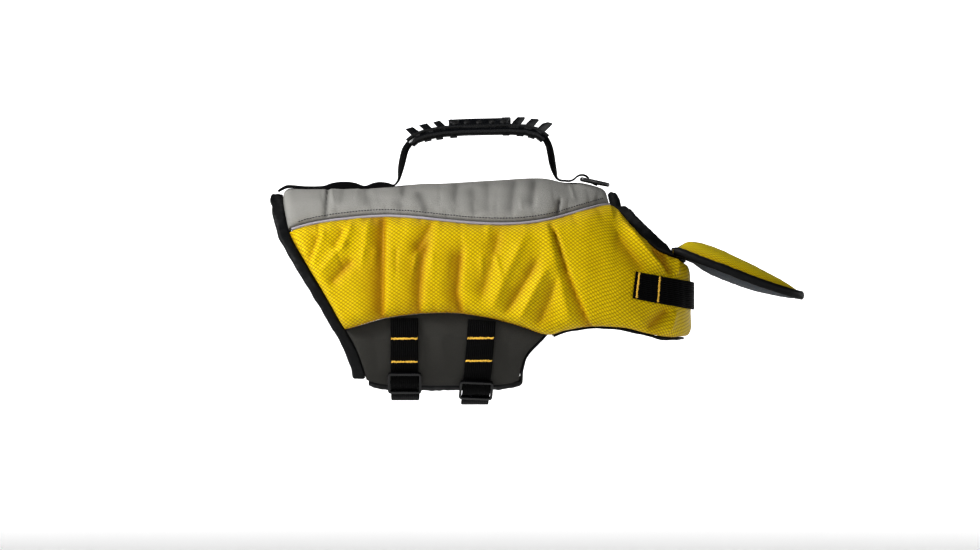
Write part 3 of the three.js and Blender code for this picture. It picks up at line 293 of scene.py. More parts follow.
# A wall of cloth: a grid given thickness, then laid on the form. place() takes the shares along and
# down the piece and says which points are outside, and returns points in mm, cloth places in metres
# and the painted shade of each point, which darkens the cloth's colour.
def clothWall(name, columns, rows, place, finishes):
    bpy.ops.object.select_all(action="DESELECT")
    bpy.ops.mesh.primitive_grid_add(
        x_subdivisions=columns, y_subdivisions=rows, size=1, location=(0.5, 0.5, 0), calc_uvs=False
    )
    piece = bpy.context.object
    piece.name = piece.data.name = name
    bpy.ops.object.mode_set(mode="EDIT")
    bpy.ops.mesh.select_all(action="SELECT")
    bpy.ops.mesh.extrude_region_move(TRANSFORM_OT_translate={"value": (0, 0, 1)})
    bpy.ops.object.mode_set(mode="OBJECT")
    mesh = piece.data
    flat = np.empty(len(mesh.vertices) * 3)
    mesh.vertices.foreach_get("co", flat)
    flat = flat.reshape(-1, 3)
    outside = flat[:, 2] > 0.5
    points, clothPlaces, hollow = place(flat[:, 0] + 0.5, flat[:, 1] + 0.5, outside)
    mesh.vertices.foreach_set("co", (points * mm).ravel())
    piece.location = (0, 0, 0)
    for finish in finishes:
        mesh.materials.append(finish)
    if len(finishes) > 1:
        for face in mesh.polygons:
            face.material_index = 1 if not any(outside[i] for i in face.vertices) else 0
    mesh.update()
    giveClothMap(piece, clothPlaces)
    # painted shade: each point's darkening of the cloth's colour, kept on the mesh
    shade = mesh.attributes.new("hollow", "FLOAT", "POINT")
    shade.data.foreach_set("value", np.broadcast_to(hollow, outside.shape).astype(np.float32))
    facesOut(piece)
    return piece


# A smooth line through points, with equal steps along it
def through(points, count):
    points = np.array(points, float)
    steps = np.linalg.norm(np.diff(points[:, :3], axis=0), axis=1)
    s = np.concatenate([[0], np.cumsum(steps)])
    t = np.linspace(0, s[-1], count)
    slopes = np.empty_like(points)
    slopes[1:-1] = (points[2:] - points[:-2]) / (s[2:] - s[:-2])[:, None]
    slopes[0] = (points[1] - points[0]) / steps[0]
    slopes[-1] = (points[-1] - points[-2]) / steps[-1]
    i = np.clip(np.searchsorted(s, t, side="right") - 1, 0, len(s) - 2)
    span = (s[i + 1] - s[i])[:, None]
    q = ((t - s[i]) / span[:, 0])[:, None]
    a = points[i] * (2 * q**3 - 3 * q**2 + 1) + slopes[i] * span * (q**3 - 2 * q**2 + q)
    return a + points[i + 1] * (3 * q**2 - 2 * q**3) + slopes[i + 1] * span * (q**3 - q**2)


# A band bent out of a grid, with one section for each stop along its path. The sections are given as
# (across, out) pairs, the grid's long sides are merged, and its ends are filled.
def sweep(name, at, across, sections, finish):
    count, sides = len(at), sections.shape[1]
    before, after = np.roll(at, 1, axis=0), np.roll(at, -1, axis=0)
    before[0], after[-1] = at[0], at[-1]
    forward = normalised(after - before)
    out = normalised(np.cross(forward, across))
    across = normalised(np.cross(out, forward))
    points = at[:, None] + across[:, None] * sections[..., :1] + out[:, None] * sections[..., 1:2]
    length = np.concatenate([[0], np.cumsum(np.linalg.norm(np.diff(at, axis=0), axis=1))])
    bpy.ops.object.select_all(action="DESELECT")
    bpy.ops.mesh.primitive_grid_add(
        x_subdivisions=count - 1, y_subdivisions=sides, size=1, location=(0, 0, 0), calc_uvs=False
    )
    piece = bpy.context.object
    piece.name = piece.data.name = name
    mesh = piece.data
    flat = np.empty(len(mesh.vertices) * 3)
    mesh.vertices.foreach_get("co", flat)
    flat = flat.reshape(-1, 3) + 0.5
    i = np.round(flat[:, 0] * (count - 1)).astype(int)
    j = np.round(flat[:, 1] * sides).astype(int) % sides
    mesh.vertices.foreach_set("co", (points[i, j] * mm).ravel())
    giveClothMap(piece, np.stack([length[i], sections[i, j, 0]], -1) * mm)
    mesh.materials.append(finish)
    bpy.ops.object.mode_set(mode="EDIT")
    bpy.ops.mesh.select_all(action="SELECT")
    bpy.ops.mesh.remove_doubles(threshold=0.000002)
    bpy.ops.mesh.select_all(action="SELECT")
    bpy.ops.mesh.fill_holes(sides=0)
    bpy.ops.object.mode_set(mode="OBJECT")
    facesOut(piece)
    return piece


def oval(width, height, sides):
    angles = 2 * math.pi * (np.arange(sides) + 0.5) / sides
    return np.stack([width * np.cos(angles), height * np.sin(angles)], -1)


# Webbing with soft selvedges, flat where the curl is 0 and nearly a tube at 4.8
webbing = {"width": 25.4, "thickness": 1.6, "ribs": 14, "flattening": 0.097}


def webSection(curl, pieces=16):
    width, half = webbing["width"], webbing["thickness"] / 2
    curl = max(curl, 0.002)
    radius, flat = width / curl, 1 - curl * webbing["flattening"]
    depth = flat * radius * (1 - math.cos(curl / 2))
    shares = 0.5 - 0.5 * np.cos(np.pi * np.linspace(0, 1, pieces + 1))
    angles = (shares - 0.5) * curl
    edge = np.minimum(shares, 1 - shares) * width
    full = half * np.sqrt(np.clip(1 - (1 - np.clip(edge / half, 0, 1)) ** 2, 0.06, 1))
    faces = []
    for height in (full, -full):
        out = height / np.hypot(flat * np.sin(angles), np.cos(angles))
        up = (flat * radius + out) * np.cos(angles) - flat * radius + depth / 2
        faces.append(np.stack([(radius + flat * out) * np.sin(angles), up], -1))
    return np.concatenate([faces[0], faces[1][::-1]])


def ribbon(name, points, across, count, finish):
    packed = through(np.hstack([np.array(points, float), np.array(across, float)]), count)
    sectionsHere = np.repeat(webSection(0)[None], count, 0)
    return sweep(name, packed[:, :3], packed[:, 3:], sectionsHere, finish), packed


# Thread sewn to and fro across a band, at a distance along it
tacks = {"steps": 44, "swing": 1.0, "reach": 11.9, "thread": 0.34, "over": 0.95}


def tackRow(name, band, distance, seed):
    at, across = band[:, :3], normalised(band[:, 3:])
    s = np.concatenate([[0], np.cumsum(np.linalg.norm(np.diff(at, axis=0), axis=1))])
    i = int(np.clip(np.searchsorted(s, distance), 1, len(at) - 2))
    forward = normalised(at[i + 1] - at[i - 1])
    out = normalised(np.cross(forward, across[i]))
    if np.dot(out, at[i] * [0, 1, 1] + [0, 0, 80]) < 0:
        out = -out
    chance = np.random.default_rng(seed)
    t = np.linspace(-1, 1, tacks["steps"])
    swing = tacks["swing"] * np.where(np.arange(len(t)) % 2 == 0, 1, -1) * chance.uniform(0.6, 1.2, len(t))
    path = at[i] + across[i] * (t * tacks["reach"])[:, None] + forward * swing[:, None]
    path = path + out * (tacks["over"] + 0.2 * chance.uniform(-1, 1, len(t)))[:, None]
    path = through(path, 3 * tacks["steps"])
    around = np.repeat(oval(tacks["thread"], tacks["thread"], 6)[None], len(path), 0)
    row = sweep(name, path, np.tile(out, (len(path), 1)), around, yellowThread)
    return finished(row, "jacket", [], 80)


# Points of a seam, laid on the cloth that carries it
def ontoCloth(piece, points):
    spots, normals = [], []
    for point in points:
        found, spot, normal, face = piece.closest_point_on_mesh(Vector(point * mm))
        spots.append(np.array(spot) / mm)
        normals.append(np.array(normal))
    return np.array(spots), np.array(normals)


# Single stitches along a seam: one is modelled and copied
def seamStitches(name, path, normals, stitch, finish):
    bpy.ops.object.select_all(action="DESELECT")
    bpy.ops.mesh.primitive_uv_sphere_add(segments=8, ring_count=6, radius=0.5, location=(0, 0, 0))
    model = bpy.context.object
    model.data.materials.append(finish)
    s = np.concatenate([[0], np.cumsum(np.linalg.norm(np.diff(path, axis=0), axis=1))])
    chance = np.random.default_rng(3)
    row = []
    for start in np.arange(stitch["gap"], s[-1] - stitch["long"], stitch["long"] + stitch["gap"]):
        ends = [[np.interp(start + k, s, path[:, j]) for j in range(3)] for k in (0, stitch["long"])]
        ends = np.array(ends)
        up = normalised(np.array([np.interp(start, s, normals[:, j]) for j in range(3)]))
        way = normalised(ends[1] - ends[0])
        aside = normalised(np.cross(up, way))
        up = np.cross(way, aside)
        middle = ends.mean(0) + up * stitch["lift"] + aside * 0.12 * chance.uniform(-1, 1)
        axes = np.stack([aside * stitch["thick"], up * stitch["thick"], way * stitch["long"]], -1)
        placed = Matrix(np.vstack([np.hstack([axes, middle[:, None]]) * mm, [[0, 0, 0, 1]]]).tolist())
        copy = model.copy()
        copy.data = model.data.copy()
        copy.data.transform(placed)
        bpy.context.scene.collection.objects.link(copy)
        row.append(copy)
    bpy.data.objects.remove(model)
    bpy.ops.object.select_all(action="DESELECT")
    for copy in row:
        copy.select_set(True)
    bpy.context.view_layer.objects.active = row[0]
    bpy.ops.object.join()
    row[0].name = row[0].data.name = name
    facesOut(row[0])
    return finished(row[0], "jacket", [], 80)


# Materials

class Value:
    def __init__(self, paint, socket):
        self.paint, self.socket = paint, socket

    def combine(self, operation, first, second):
        return self.paint.node("ShaderNodeMath", {"operation": operation}, {0: first, 1: second})

    def __add__(self, other):
        return self.combine("ADD", self, other)

    def __radd__(self, other):
        return self.combine("ADD", other, self)

    def __sub__(self, other):
        return self.combine("SUBTRACT", self, other)

    def __rsub__(self, other):
        return self.combine("SUBTRACT", other, self)

    def __mul__(self, other):
        return self.combine("MULTIPLY", self, other)

    def __rmul__(self, other):
        return self.combine("MULTIPLY", other, self)

    def __truediv__(self, other):
        return self.combine("DIVIDE", self, other)

    def __pow__(self, other):
        return self.combine("POWER", self, other)

    def __abs__(self):
        return self.combine("ABSOLUTE", self, 0)

    def fraction(self):
        return self.combine("FRACT", self, 0)

    def sine(self):
        return self.combine("SINE", self, 0)

    def clipped(self):
        return self.combine("MINIMUM", self.combine("MAXIMUM", self, 0), 1)


class Paint:
    def __init__(self, name, roughness, metallic=0.0, sheen=0.0, sheenTint=(1, 1, 1), coat=0.0, specular=0.5):
        self.material = bpy.data.materials.new(name)
        self.material.use_nodes = True
        self.tree = self.material.node_tree
        self.shader = self.tree.nodes["Principled BSDF"]
        self.shader.inputs["Roughness"].default_value = roughness
        self.shader.inputs["Metallic"].default_value = metallic
        self.shader.inputs["Sheen Weight"].default_value = sheen
        self.shader.inputs["Sheen Tint"].default_value = (*sheenTint, 1)
        self.shader.inputs["Coat Weight"].default_value = coat
        self.shader.inputs["Specular IOR Level"].default_value = specular

    def node(self, kind, settings, inputs, output=0):
        made = self.tree.nodes.new(kind)
        for key, value in settings.items():
            if key == "stops":
                ramp = made.color_ramp
                while len(ramp.elements) < len(value):
                    ramp.elements.new(0.5)
                for element, (place, colour) in zip(ramp.elements, value):
                    element.position, element.color = place, (*colour, 1)
            else:
                setattr(made, key, value)
        for key, value in inputs.items():
            if isinstance(value, Value):
                self.tree.links.new(value.socket, made.inputs[key])
            else:
                made.inputs[key].default_value = value
        return Value(self, made.outputs[output])

    def cloth(self):
        place = self.node("ShaderNodeUVMap", {"uv_map": "cloth"}, {})
        along = self.node("ShaderNodeSeparateXYZ", {}, {0: place})
        down = Value(self, along.socket.node.outputs[1])
        return place, along, down

    # painted shade, read from the mesh's attribute
    def hollow(self):
        return self.node("ShaderNodeAttribute", {"attribute_name": "hollow"}, {}, "Fac")

    def solid(self):
        return self.node("ShaderNodeTexCoord", {}, {}, "Object")

    def noise(self, place, scale, detail=2, roughness=0.5):
        return self.node(
            "ShaderNodeTexNoise", {}, {"Vector": place, "Scale": scale, "Detail": detail, "Roughness": roughness}
        )

    def blend(self, factor, first, second, kind="MIX"):
        made = self.tree.nodes.new("ShaderNodeMix")
        made.data_type, made.blend_type = "RGBA", kind
        for socket, value in ((made.inputs[0], factor), (made.inputs[6], first), (made.inputs[7], second)):
            if isinstance(value, Value):
                self.tree.links.new(value.socket, socket)
            else:
                socket.default_value = value if isinstance(value, float) else (*value, 1)
        return Value(self, made.outputs[2])

    def colour(self, value):
        self.tree.links.new(value.socket, self.shader.inputs["Base Color"])

    def roughness(self, value):
        self.tree.links.new(value.socket, self.shader.inputs["Roughness"])

    def bump(self, height, strength, distance):
        made = self.node("ShaderNodeBump", {}, {"Strength": strength, "Distance": distance, "Height": height})
        self.tree.links.new(made.socket, self.shader.inputs["Normal"])


def fromScreen(red, green, blue):
    return tuple((v / 255 / 12.92) if v / 255 <= 0.04045 else ((v / 255 + 0.055) / 1.055) ** 2.4
                 for v in (red, green, blue))


ripstop = {"wide": 0.0042, "high": 0.0031, "line": 0.27, "cloth": (215, 188, 0), "lineColour": (108, 76, 0)}


def ripstopPaint(name, cloth, lineColour, deep):
    paint = Paint(name, 0.34, specular=0.34)
    paint.shader.inputs["Specular Tint"].default_value = (1, 0.82, 0.2, 1)
    place, along, down = paint.cloth()
    masks = []
    for sign in (1, -1):
        across = along / ripstop["wide"] + down * (sign / ripstop["high"])
        masks.append(1 - (abs(across.fraction() - 0.5) / ripstop["line"]).clipped())
    lines = (masks[0] + masks[1] * 0.85).clipped()
    patches = paint.noise(place, 45, 3)
    threads = paint.noise(place, 2600, 1)
    base = paint.blend(patches, fromScreen(*[v * 0.92 for v in cloth]), fromScreen(*cloth))
    base = paint.blend((lines * (threads * 0.3 + 0.55)).clipped(), base, fromScreen(*lineColour))
    # painted shade: the cloth turns to the deep colour, a darker orange, in its fold valleys and close to its seams
    base = paint.blend((paint.hollow() * 0.75).clipped(), base, fromScreen(*deep))
    paint.colour(base)
    paint.roughness(0.32 + 0.2 * threads + 0.08 * patches)
    paint.bump(threads * 0.3 - lines, 0.6, 0.0005)
    return paint.material


def nylonPaint(name, colour, speckle=0.35, roughness=0.8, specular=0.15, sheen=0.0, paintedShadeStrength=0.55):
    paint = Paint(name, roughness, sheen=sheen, specular=specular)
    place, along, down = paint.cloth()
    fine = paint.noise(place, 1100, 3, 0.75)
    patches = paint.noise(place, 60, 3)
    dark = fromScreen(*[v * (1 - 0.6 * speckle) for v in colour])
    light = fromScreen(*[min(255, v * (1 + 0.4 * speckle)) for v in colour])
    base = paint.blend(((fine - 0.5) * 2.2 + 0.5).clipped(), dark, light)
    base = paint.blend((patches * 0.3).clipped(), base, fromScreen(*[v * 0.85 for v in colour]))
    # painted shade: the cloth darkens towards 0.4 of its colour in its folds and close to its seams
    if paintedShadeStrength:
        deep = (paint.hollow() * paintedShadeStrength).clipped()
        base = paint.blend(deep, base, fromScreen(*[v * 0.4 for v in colour]))
    paint.colour(base)
    weave = (along * (2 * math.pi / 0.00075)).sine() * 0.5 + (down * (2 * math.pi / 0.00075)).sine() * 0.5
    paint.bump(weave * 0.4 + fine, 0.4, 0.0003)
    return paint.material


def tapePaint(name, colour, sheenColour):
    paint = Paint(name, 0.42, specular=0.14)
    place, along, down = paint.cloth()
    ribs = (along * (2 * math.pi / 0.0011)).sine() * 0.5 + 0.5
    patches = paint.noise(place, 120, 3)
    base = paint.blend((ribs * 0.35 + patches * 0.5).clipped(), fromScreen(*colour), fromScreen(*sheenColour))
    paint.colour(base)
    paint.bump(ribs + patches * 0.6, 0.4, 0.0003)
    return paint.material


def webbingPaint(name):
    paint = Paint(name, 0.6, specular=0.05)
    place, along, down = paint.cloth()
    ribs = (down * (2 * math.pi / (webbing["width"] * mm / webbing["ribs"]))).sine() * 0.5 + 0.5
    picks = (along * (2 * math.pi / 0.0013)).sine() * 0.5 + 0.5
    base = paint.blend((ribs * picks * 0.9).clipped(), fromScreen(1, 1, 1), fromScreen(12, 12, 14))
    paint.colour(base)
    paint.bump(ribs + ribs * picks * 0.5, 0.7, 0.0006)
    return paint.material


def plainPaint(name, colour, lighter, roughness, coat=0.0, metallic=0.0, grain=900, specular=0.5):
    paint = Paint(name, roughness, coat=coat, metallic=metallic, specular=specular)
    place = paint.solid()
    fine = paint.noise(place, grain, 2)
    wide = paint.noise(place, 40, 2)
    paint.colour(paint.blend((wide * 0.7).clipped(), fromScreen(*colour), fromScreen(*lighter)))
    paint.roughness(roughness - 0.08 + 0.16 * fine)
    paint.bump(fine, 0.2, 0.0002)
    return paint.material


def threadPaint(name, colour, lighter):
    paint = Paint(name, 0.5, sheen=0.1, specular=0.3)
    place = paint.solid()
    paint.colour(paint.blend(paint.noise(place, 1800, 1), fromScreen(*colour), fromScreen(*lighter)))
    return paint.material


# the last colour of each ripstop is the painted shade colour of its folds and seams
yellowCloth = ripstopPaint("yellowRipstop", ripstop["cloth"], ripstop["lineColour"], (134, 86, 0))
lemonCloth = ripstopPaint("lemonRipstop", (226, 206, 6), (124, 98, 0), (150, 112, 0))
greyCloth = nylonPaint("greyNylon", (139, 138, 134))
# painted shade: the belly panels are the saddle's grey nylon painted much darker, for the shade they face down into
bellyCloth = nylonPaint("bellyGreyNylonPaintedShade", (50, 49, 46), paintedShadeStrength=0.8)
liningCloth = nylonPaint("liningNylon", (128, 127, 125), 0.15, paintedShadeStrength=0)
slateCloth = nylonPaint("slateLining", (60, 65, 71), 0.2, 0.6, paintedShadeStrength=0)
bindingTape = tapePaint("bindingTape", (2, 2, 3), (11, 13, 15))
blackWebbing = webbingPaint("blackWebbing")
pipingCord = nylonPaint("reflectivePiping", (156, 152, 160), 0.15, 0.35, 0.5, paintedShadeStrength=0)
yellowThread = threadPaint("yellowThread", (214, 160, 20), (252, 214, 96))
goldThread = threadPaint("goldThread", (140, 100, 4), (190, 146, 18))
darkThread = threadPaint("darkThread", (14, 14, 18), (48, 48, 54))
blackPlastic = plainPaint("blackPlastic", (3, 3, 4), (7, 8, 10), 0.24, specular=0.4)
blackRubber = plainPaint("blackRubber", (4, 5, 7), (9, 11, 15), 0.28, specular=0.3)
blackMetal = plainPaint("blackMetal", (6, 6, 7), (14, 14, 16), 0.28, specular=0.6)
print("materials made")


# Padded sides

side = {
    "pad": 17, "chestPad": 11, "edge": 4, "lip": 5.6, "slack": 0.9,
    "puckers": 0.45, "creases": 1.35, "chestCreases": 1.5, "lining": 0.35,
}
rightCreases = [
    {"path": [(-53.9, -28.8), (-54.4, -69.8), (-54.9, -113.5)], "rise": -4.4, "before": 10, "after": 2.4,
     "top": 0.8, "bottom": 0.6},
    {"path": [(-107.0, -38.1), (-113.5, -54.9), (-119.0, -70.7)], "rise": 1.8, "before": 3.5, "after": 4.5},
    {"path": [(-112.5, -41.9), (-117.2, -55.8), (-123.7, -67.9)], "rise": -2.2, "before": 4, "after": 3},
    {"path": [(-81.8, -31.6), (-87.4, -46.5), (-93.0, -58.6)], "rise": 1.8, "before": 3, "after": 4},
    {"path": [(-90.2, -36.3), (-93.9, -45.6), (-99.5, -54.9)], "rise": -1.6, "before": 3.5, "after": 2.5},
    {"path": [(-85.6, -47.4), (-98.6, -60.5), (-112.5, -76.3)], "rise": 1.6, "before": 4, "after": 3.5},
    {"path": [(-80.9, -62.3), (-91.1, -71.6), (-103.2, -84.6)], "rise": -2.6, "before": 5, "after": 4},
    {"path": [(-67.9, -29.8), (-68.8, -41.9), (-69.8, -54.9)], "rise": 1.5, "before": 5, "after": 4},
    {"path": [(-10.2, -32.6), (-18.6, -47.4), (-27.0, -59.5)], "rise": -1.9, "before": 5, "after": 2.4},
    {"path": [(-12.1, -43.7), (-17.7, -62.3), (-20.5, -84.6), (-21.4, -109.7)], "rise": -3.4, "before": 10,
     "after": 3, "bottom": 0.5},
    {"path": [(17.7, -51.2), (14.9, -74.4), (13.0, -90.2), (17.7, -110.7)], "rise": -3.4, "before": 9,
     "after": 2.4, "bottom": 0.5},
    {"path": [(53.0, -35.3), (44.6, -64.2), (33.5, -99.5)], "rise": -2.0, "before": 7, "after": 5},
    {"path": [(76.3, -41.9), (59.5, -71.6), (42.8, -108.8)], "rise": 2.3, "before": 6, "after": 5},
    {"path": [(87.4, -60.5), (71.6, -86.5), (54.9, -110.7)], "rise": -2.6, "before": 5.5, "after": 4},
    {"path": [(95.8, -67.9), (81.8, -92.1), (67.0, -117.2)], "rise": 2.8, "before": 4.5, "after": 4},
    {"path": [(105.1, -73.5), (95.8, -97.7), (84.6, -120.9)], "rise": -2.2, "before": 6, "after": 5},
    {"path": [(163.7, -33.5), (180.4, -53.0), (199.0, -75.3)], "rise": 2.3, "before": 4, "after": 5},
    {"path": [(155.3, -40.0), (169.3, -58.6), (183.2, -77.2)], "rise": -1.4, "before": 9, "after": 5},
    {"path": [(187.9, -51.2), (196.2, -62.3), (205.5, -76.3)], "rise": -2.6, "before": 3.4, "after": 4.5},
    {"path": [(214.8, -56.7), (211.1, -66.0), (209.2, -76.3)], "rise": 1.8, "before": 3, "after": 3},
    {"path": [(202.7, -105.1), (193.4, -113.5), (183.2, -122.8)], "rise": -2.0, "before": 5, "after": 4},
    {"path": [(207.4, -106.0), (203.7, -116.2), (200.0, -126.5)], "rise": 1.6, "before": 4, "after": 4},
]
# The tuck in front of the belly panel: it falls from its rear line to its front line.
tuck = {"rear": [(93.0, -32.6), (105.1, -76.3), (118.1, -120.0)],
        "front": [(96.7, -34.4), (113.5, -75.3), (133.9, -119.0)], "crest": 1.6, "valley": -2.8}
leftCreases = [
    {"path": [(-60, -29), (-58, -70), (-60, -112)], "rise": -3.6, "before": 7, "after": 3, "top": 0.7},
    {"path": [(-104, -37), (-112, -56), (-121, -76)], "rise": -2.0, "before": 5, "after": 3},
    {"path": [(-84, -44), (-95, -62), (-104, -84)], "rise": 1.8, "before": 4, "after": 4},
    {"path": [(-22, -32), (-27, -60), (-25, -96)], "rise": -2.6, "before": 8, "after": 3},
    {"path": [(8, -36), (4, -64), (10, -104)], "rise": -3.0, "before": 4, "after": 8},
    {"path": [(38, -40), (32, -70), (27, -106)], "rise": 1.6, "before": 6, "after": 5},
    {"path": [(70, -38), (60, -72), (47, -112)], "rise": -2.2, "before": 7, "after": 4},
    {"path": [(92, -66), (80, -94), (66, -118)], "rise": 2.2, "before": 5, "after": 4},
    {"path": [(168, -36), (181, -52), (192, -66)], "rise": -1.8, "before": 4, "after": 5},
]


rightCreases += puckersAlong(lambda x: upperHeight(x) + 1, -134, 150, 34, -17, 1.25, 51)
rightCreases += puckersAlong(lambda x: lowerHeight(x) - 1, -88, 150, 30, 12, 0.9, 52)
rightCreases += puckersAlong(lambda x: upperHeight(x) + 1, 158, 214, 7, -14, 1.2, 53)
rightCreases += puckersAlong(lambda x: upperHeight(x) - 30, -100, 60, 9, -30, -1.0, 54)
leftCreases += puckersAlong(lambda x: upperHeight(x) + 1, -134, 150, 26, -17, 1.1, 55)
leftCreases += puckersAlong(lambda x: lowerHeight(x) - 1, -88, 150, 22, 12, 0.9, 56)
leftCreases += puckersAlong(lambda x: upperHeight(x) - 34, -90, 90, 8, -30, -1.0, 57)


def lineAt(path, z):
    zs, xs = [p[1] for p in path][::-1], [p[0] for p in path][::-1]
    return np.interp(z, zs, xs)


def tuckHeight(x, z, strength):
    rearHere, frontHere = lineAt(tuck["rear"], z), lineAt(tuck["front"], z)
    share = (x - rearHere) / np.maximum(frontHere - rearHere, 1)
    inside = mix(tuck["crest"], tuck["valley"], unit(share))
    behind = tuck["crest"] * np.exp(-(((x - rearHere) / 7) ** 2))
    ahead = tuck["valley"] * np.exp(-(((x - frontHere) / 2.2) ** 2))
    height = np.where(share < 0, behind, np.where(share > 1, ahead, inside))
    reach = unit((-28 - z) / 14) * unit((z + 128) / 6 + 0.5)
    return height * reach * strength


def sideTop(x):
    return upperHeight(x) - seam / 2


def sideRearX(v):
    x = np.full_like(v, -110.0)
    for _ in range(40):
        x = mix(x, rearX(mix(sideTop(x), lowerHeight(x), v)) + seam, 0.7)
    return x


def sideWall(end, creases, tuckStrength, mirrored, seed):
    def place(u, v, outside):
        v = eased(v, 0.6)
        rearRun = runAt(sideRearX(v))
        run = mix(rearRun, end, eased(u, 0.45))
        x = planX(run)
        top, low = sideTop(x), lowerHeight(x)
        z = mix(top, low, v)
        pillow = rise(top - z, 14) * rise(z - low, 13) * rise(run - rearRun, 9) * rise(end - run, 9)
        lip = side["edge"] + (side["lip"] - side["edge"]) * unit((v - 0.7) / 0.3)
        full = mix(side["pad"], side["chestPad"], unit((x - 130) / 60)) - side["slack"]
        # on the chest the creases are read along the run, so that they don't stretch over the turn
        seen = np.where(run > runAt(200), 200 + (run - runAt(200)), x)
        folds = (creaseHeight(seen, z, creases) + tuckHeight(seen, z, tuckStrength)) * side["creases"]
        folds = folds * mix(1, side["chestCreases"], unit((seen - 150) / 20))
        folds = folds + 0.5 * wobble(seen, z, 34, seed) + 0.22 * wobble(seen, z, 13, seed + 1)
        gather = wobble(seen, z * 0.2, 9, seed + 2) * np.exp(-(top - z) / 9)
        gather = gather + 0.8 * wobble(seen, z * 0.2, 7, seed + 3) * np.exp(-(z - low) / 7)
        edge = np.minimum.reduce([top - z, z - low, run - rearRun, end - run])
        rounded = rise(edge + 0.35, 1.6)
        height = lip * mix(0.35, 1, rounded) + (full - side["edge"]) * pillow
        height = height + folds * (0.18 + 0.82 * pillow) * unit(edge / 2) + gather * side["puckers"] * unit(edge / 2)
        inner = side["lining"] * (wobble(seen, z, 30, seed + 4) + 1) * unit(edge / 4)
        angle = angleAt(x, z)
        points = skin(run, angle, np.where(outside, np.maximum(height, 1.2), inner))
        down = girthLength(run, 0 * angle, angle)
        if mirrored:
            points[:, 1] *= -1
        # painted shade: darker in the fold valleys, in the gathers and close to the seams
        hollow = unit(-folds / 4.2) + 0.5 * unit(-gather) + 0.9 * np.exp(-np.maximum(edge, 0) / 1.3)
        return points, np.stack([run * mm, -down * mm], -1), unit(hollow)

    return place


right = clothWall(
    "sideClothRight", 340, 96, sideWall(chestEnd, rightCreases, 1.0, False, 11), [yellowCloth, liningCloth]
)
finished(right, "jacket", ["side_panel_right"], 60)
left = clothWall(
    "sideClothLeft", 240, 72, sideWall(-chestEnd - chestSlit, leftCreases, 0.7, True, 31), [yellowCloth, liningCloth]
)
finished(left, "jacket", ["side_panel_left"], 60)
print("sides made")


# Saddle

saddle = {"pad": 10.7, "edge": 4, "piping": 1.3, "slack": 0.0, "creases": 1.25}
saddleCreases = [
    {"path": [(-107.0, 6.5), (-107.4, -9.3), (-107.9, -25.1)], "rise": -1.9, "before": 1.6, "after": 1.8,
     "top": 0.8, "bottom": 0.8},
    {"path": [(-92.1, 4.7), (-93.0, -9.3), (-93.9, -17.7)], "rise": -0.8, "before": 5, "after": 4},
    {"path": [(-72.5, 2.8), (-70.7, -10.2), (-69.8, -19.5)], "rise": -0.9, "before": 6, "after": 4},
    {"path": [(-34.4, 4.7), (-37.2, -8.4), (-39.1, -21.4)], "rise": -1.5, "before": 5, "after": 4},
    {"path": [(-22.3, -4.7), (-17.7, -14.0), (-14.0, -23.2)], "rise": -1.9, "before": 5, "after": 3.5},
    {"path": [(14.0, 4.7), (11.2, -10.2), (10.2, -25.1)], "rise": -1.4, "before": 5, "after": 4},
    {"path": [(27.0, -0.9), (28.8, -14.0), (29.8, -25.1)], "rise": -1.2, "before": 6, "after": 5},
    {"path": [(41.9, 6.5), (40.9, -10.2), (41.9, -25.1)], "rise": -1.0, "before": 6, "after": 5},
    {"path": [(67.9, 8.4), (64.2, -8.4), (61.4, -25.1)], "rise": -1.5, "before": 6, "after": 4},
    {"path": [(85.6, 10.2), (82.8, -4.7), (80.0, -19.5)], "rise": -1.7, "before": 5, "after": 4},
    {"path": [(105.6, -11.2), (104.7, -17.7), (104.2, -25.1)], "rise": -2.8, "before": 2.4, "after": 1.2,
     "bottom": 0.8},
    {"path": [(117.2, 4.7), (121.8, -8.4), (123.7, -15.8)], "rise": -1.1, "before": 7, "after": 5},
]
pipingWidth = 2 * saddle["piping"] + 2 * seam


saddleCreases += puckersAlong(lambda x: upperHeight(x) + 2, -136, 146, 30, 13, 0.6, 58)
saddleCreases += puckersAlong(lambda x: upperHeight(x) + 12, -120, 130, 14, 17, -0.7, 59)


def saddleLimit(x):
    return angleAt(x, upperHeight(x) + pipingWidth)


def saddleEdgeX(line, start, share):
    x = np.full_like(share, start)
    for _ in range(40):
        x = mix(x, line(form(runAt(x), share * saddleLimit(x))[..., 2]), 0.7)
    return x


def saddlePlace(u, v, outside):
    v = 2 * eased(v, 0.35) - 1
    share = np.abs(v)
    rear = saddleEdgeX(rearX, -145.0, share) + seam
    front = saddleEdgeX(saddleFrontX, 150.0, share) - seam
    x = mix(rear, front, eased(u, 0.5))
    limit = saddleLimit(x)
    run, angle = runAt(x), v * limit
    toPiping = (1 - share) * limit * 78
    pillow = rise(toPiping, 26) * rise(x - rear, 8) * rise(front - x, 7)
    z = form(run, angle)[..., 2]
    shifted = np.where(v < 0, x + 9 * np.sin(x / 31), x)  # the left side creases like the right, elsewhere
    folds = creaseHeight(shifted, z, saddleCreases) * unit(share * 3.5) * saddle["creases"]
    folds = folds + 0.3 * wobble(x, 60 * v, 26, 5) * unit(share * 3.5)
    edge = np.minimum.reduce([toPiping, x - rear, front - x])
    gather = 0.25 * wobble(x, 6 * v, 7, 6) * np.exp(-toPiping / 6)
    height = saddle["edge"] * mix(0.4, 1, rise(edge + 0.35, 1.4))
    height = height + (saddle["pad"] - saddle["edge"] - saddle["slack"]) * pillow
    height = height + (folds * (0.25 + 0.75 * pillow) + gather) * unit(edge / 2)
    inner = 0.3 * (wobble(x, 60 * v, 30, 8) + 1) * unit(edge / 4)
    points = skin(run, angle, np.where(outside, height, inner))
    # painted shade: darker in the crease valleys and close to the seams
    hollow = unit(-folds / 2.4) + 0.9 * np.exp(-np.maximum(edge, 0) / 1.1)
    return points, np.stack([x * mm, angle * 78 * mm], -1), unit(hollow)


saddleCloth = clothWall("saddleCloth", 220, 110, saddlePlace, [greyCloth, liningCloth])
finished(saddleCloth, "jacket", ["back_panel"], 60)
print("saddle made")


# Belly panels

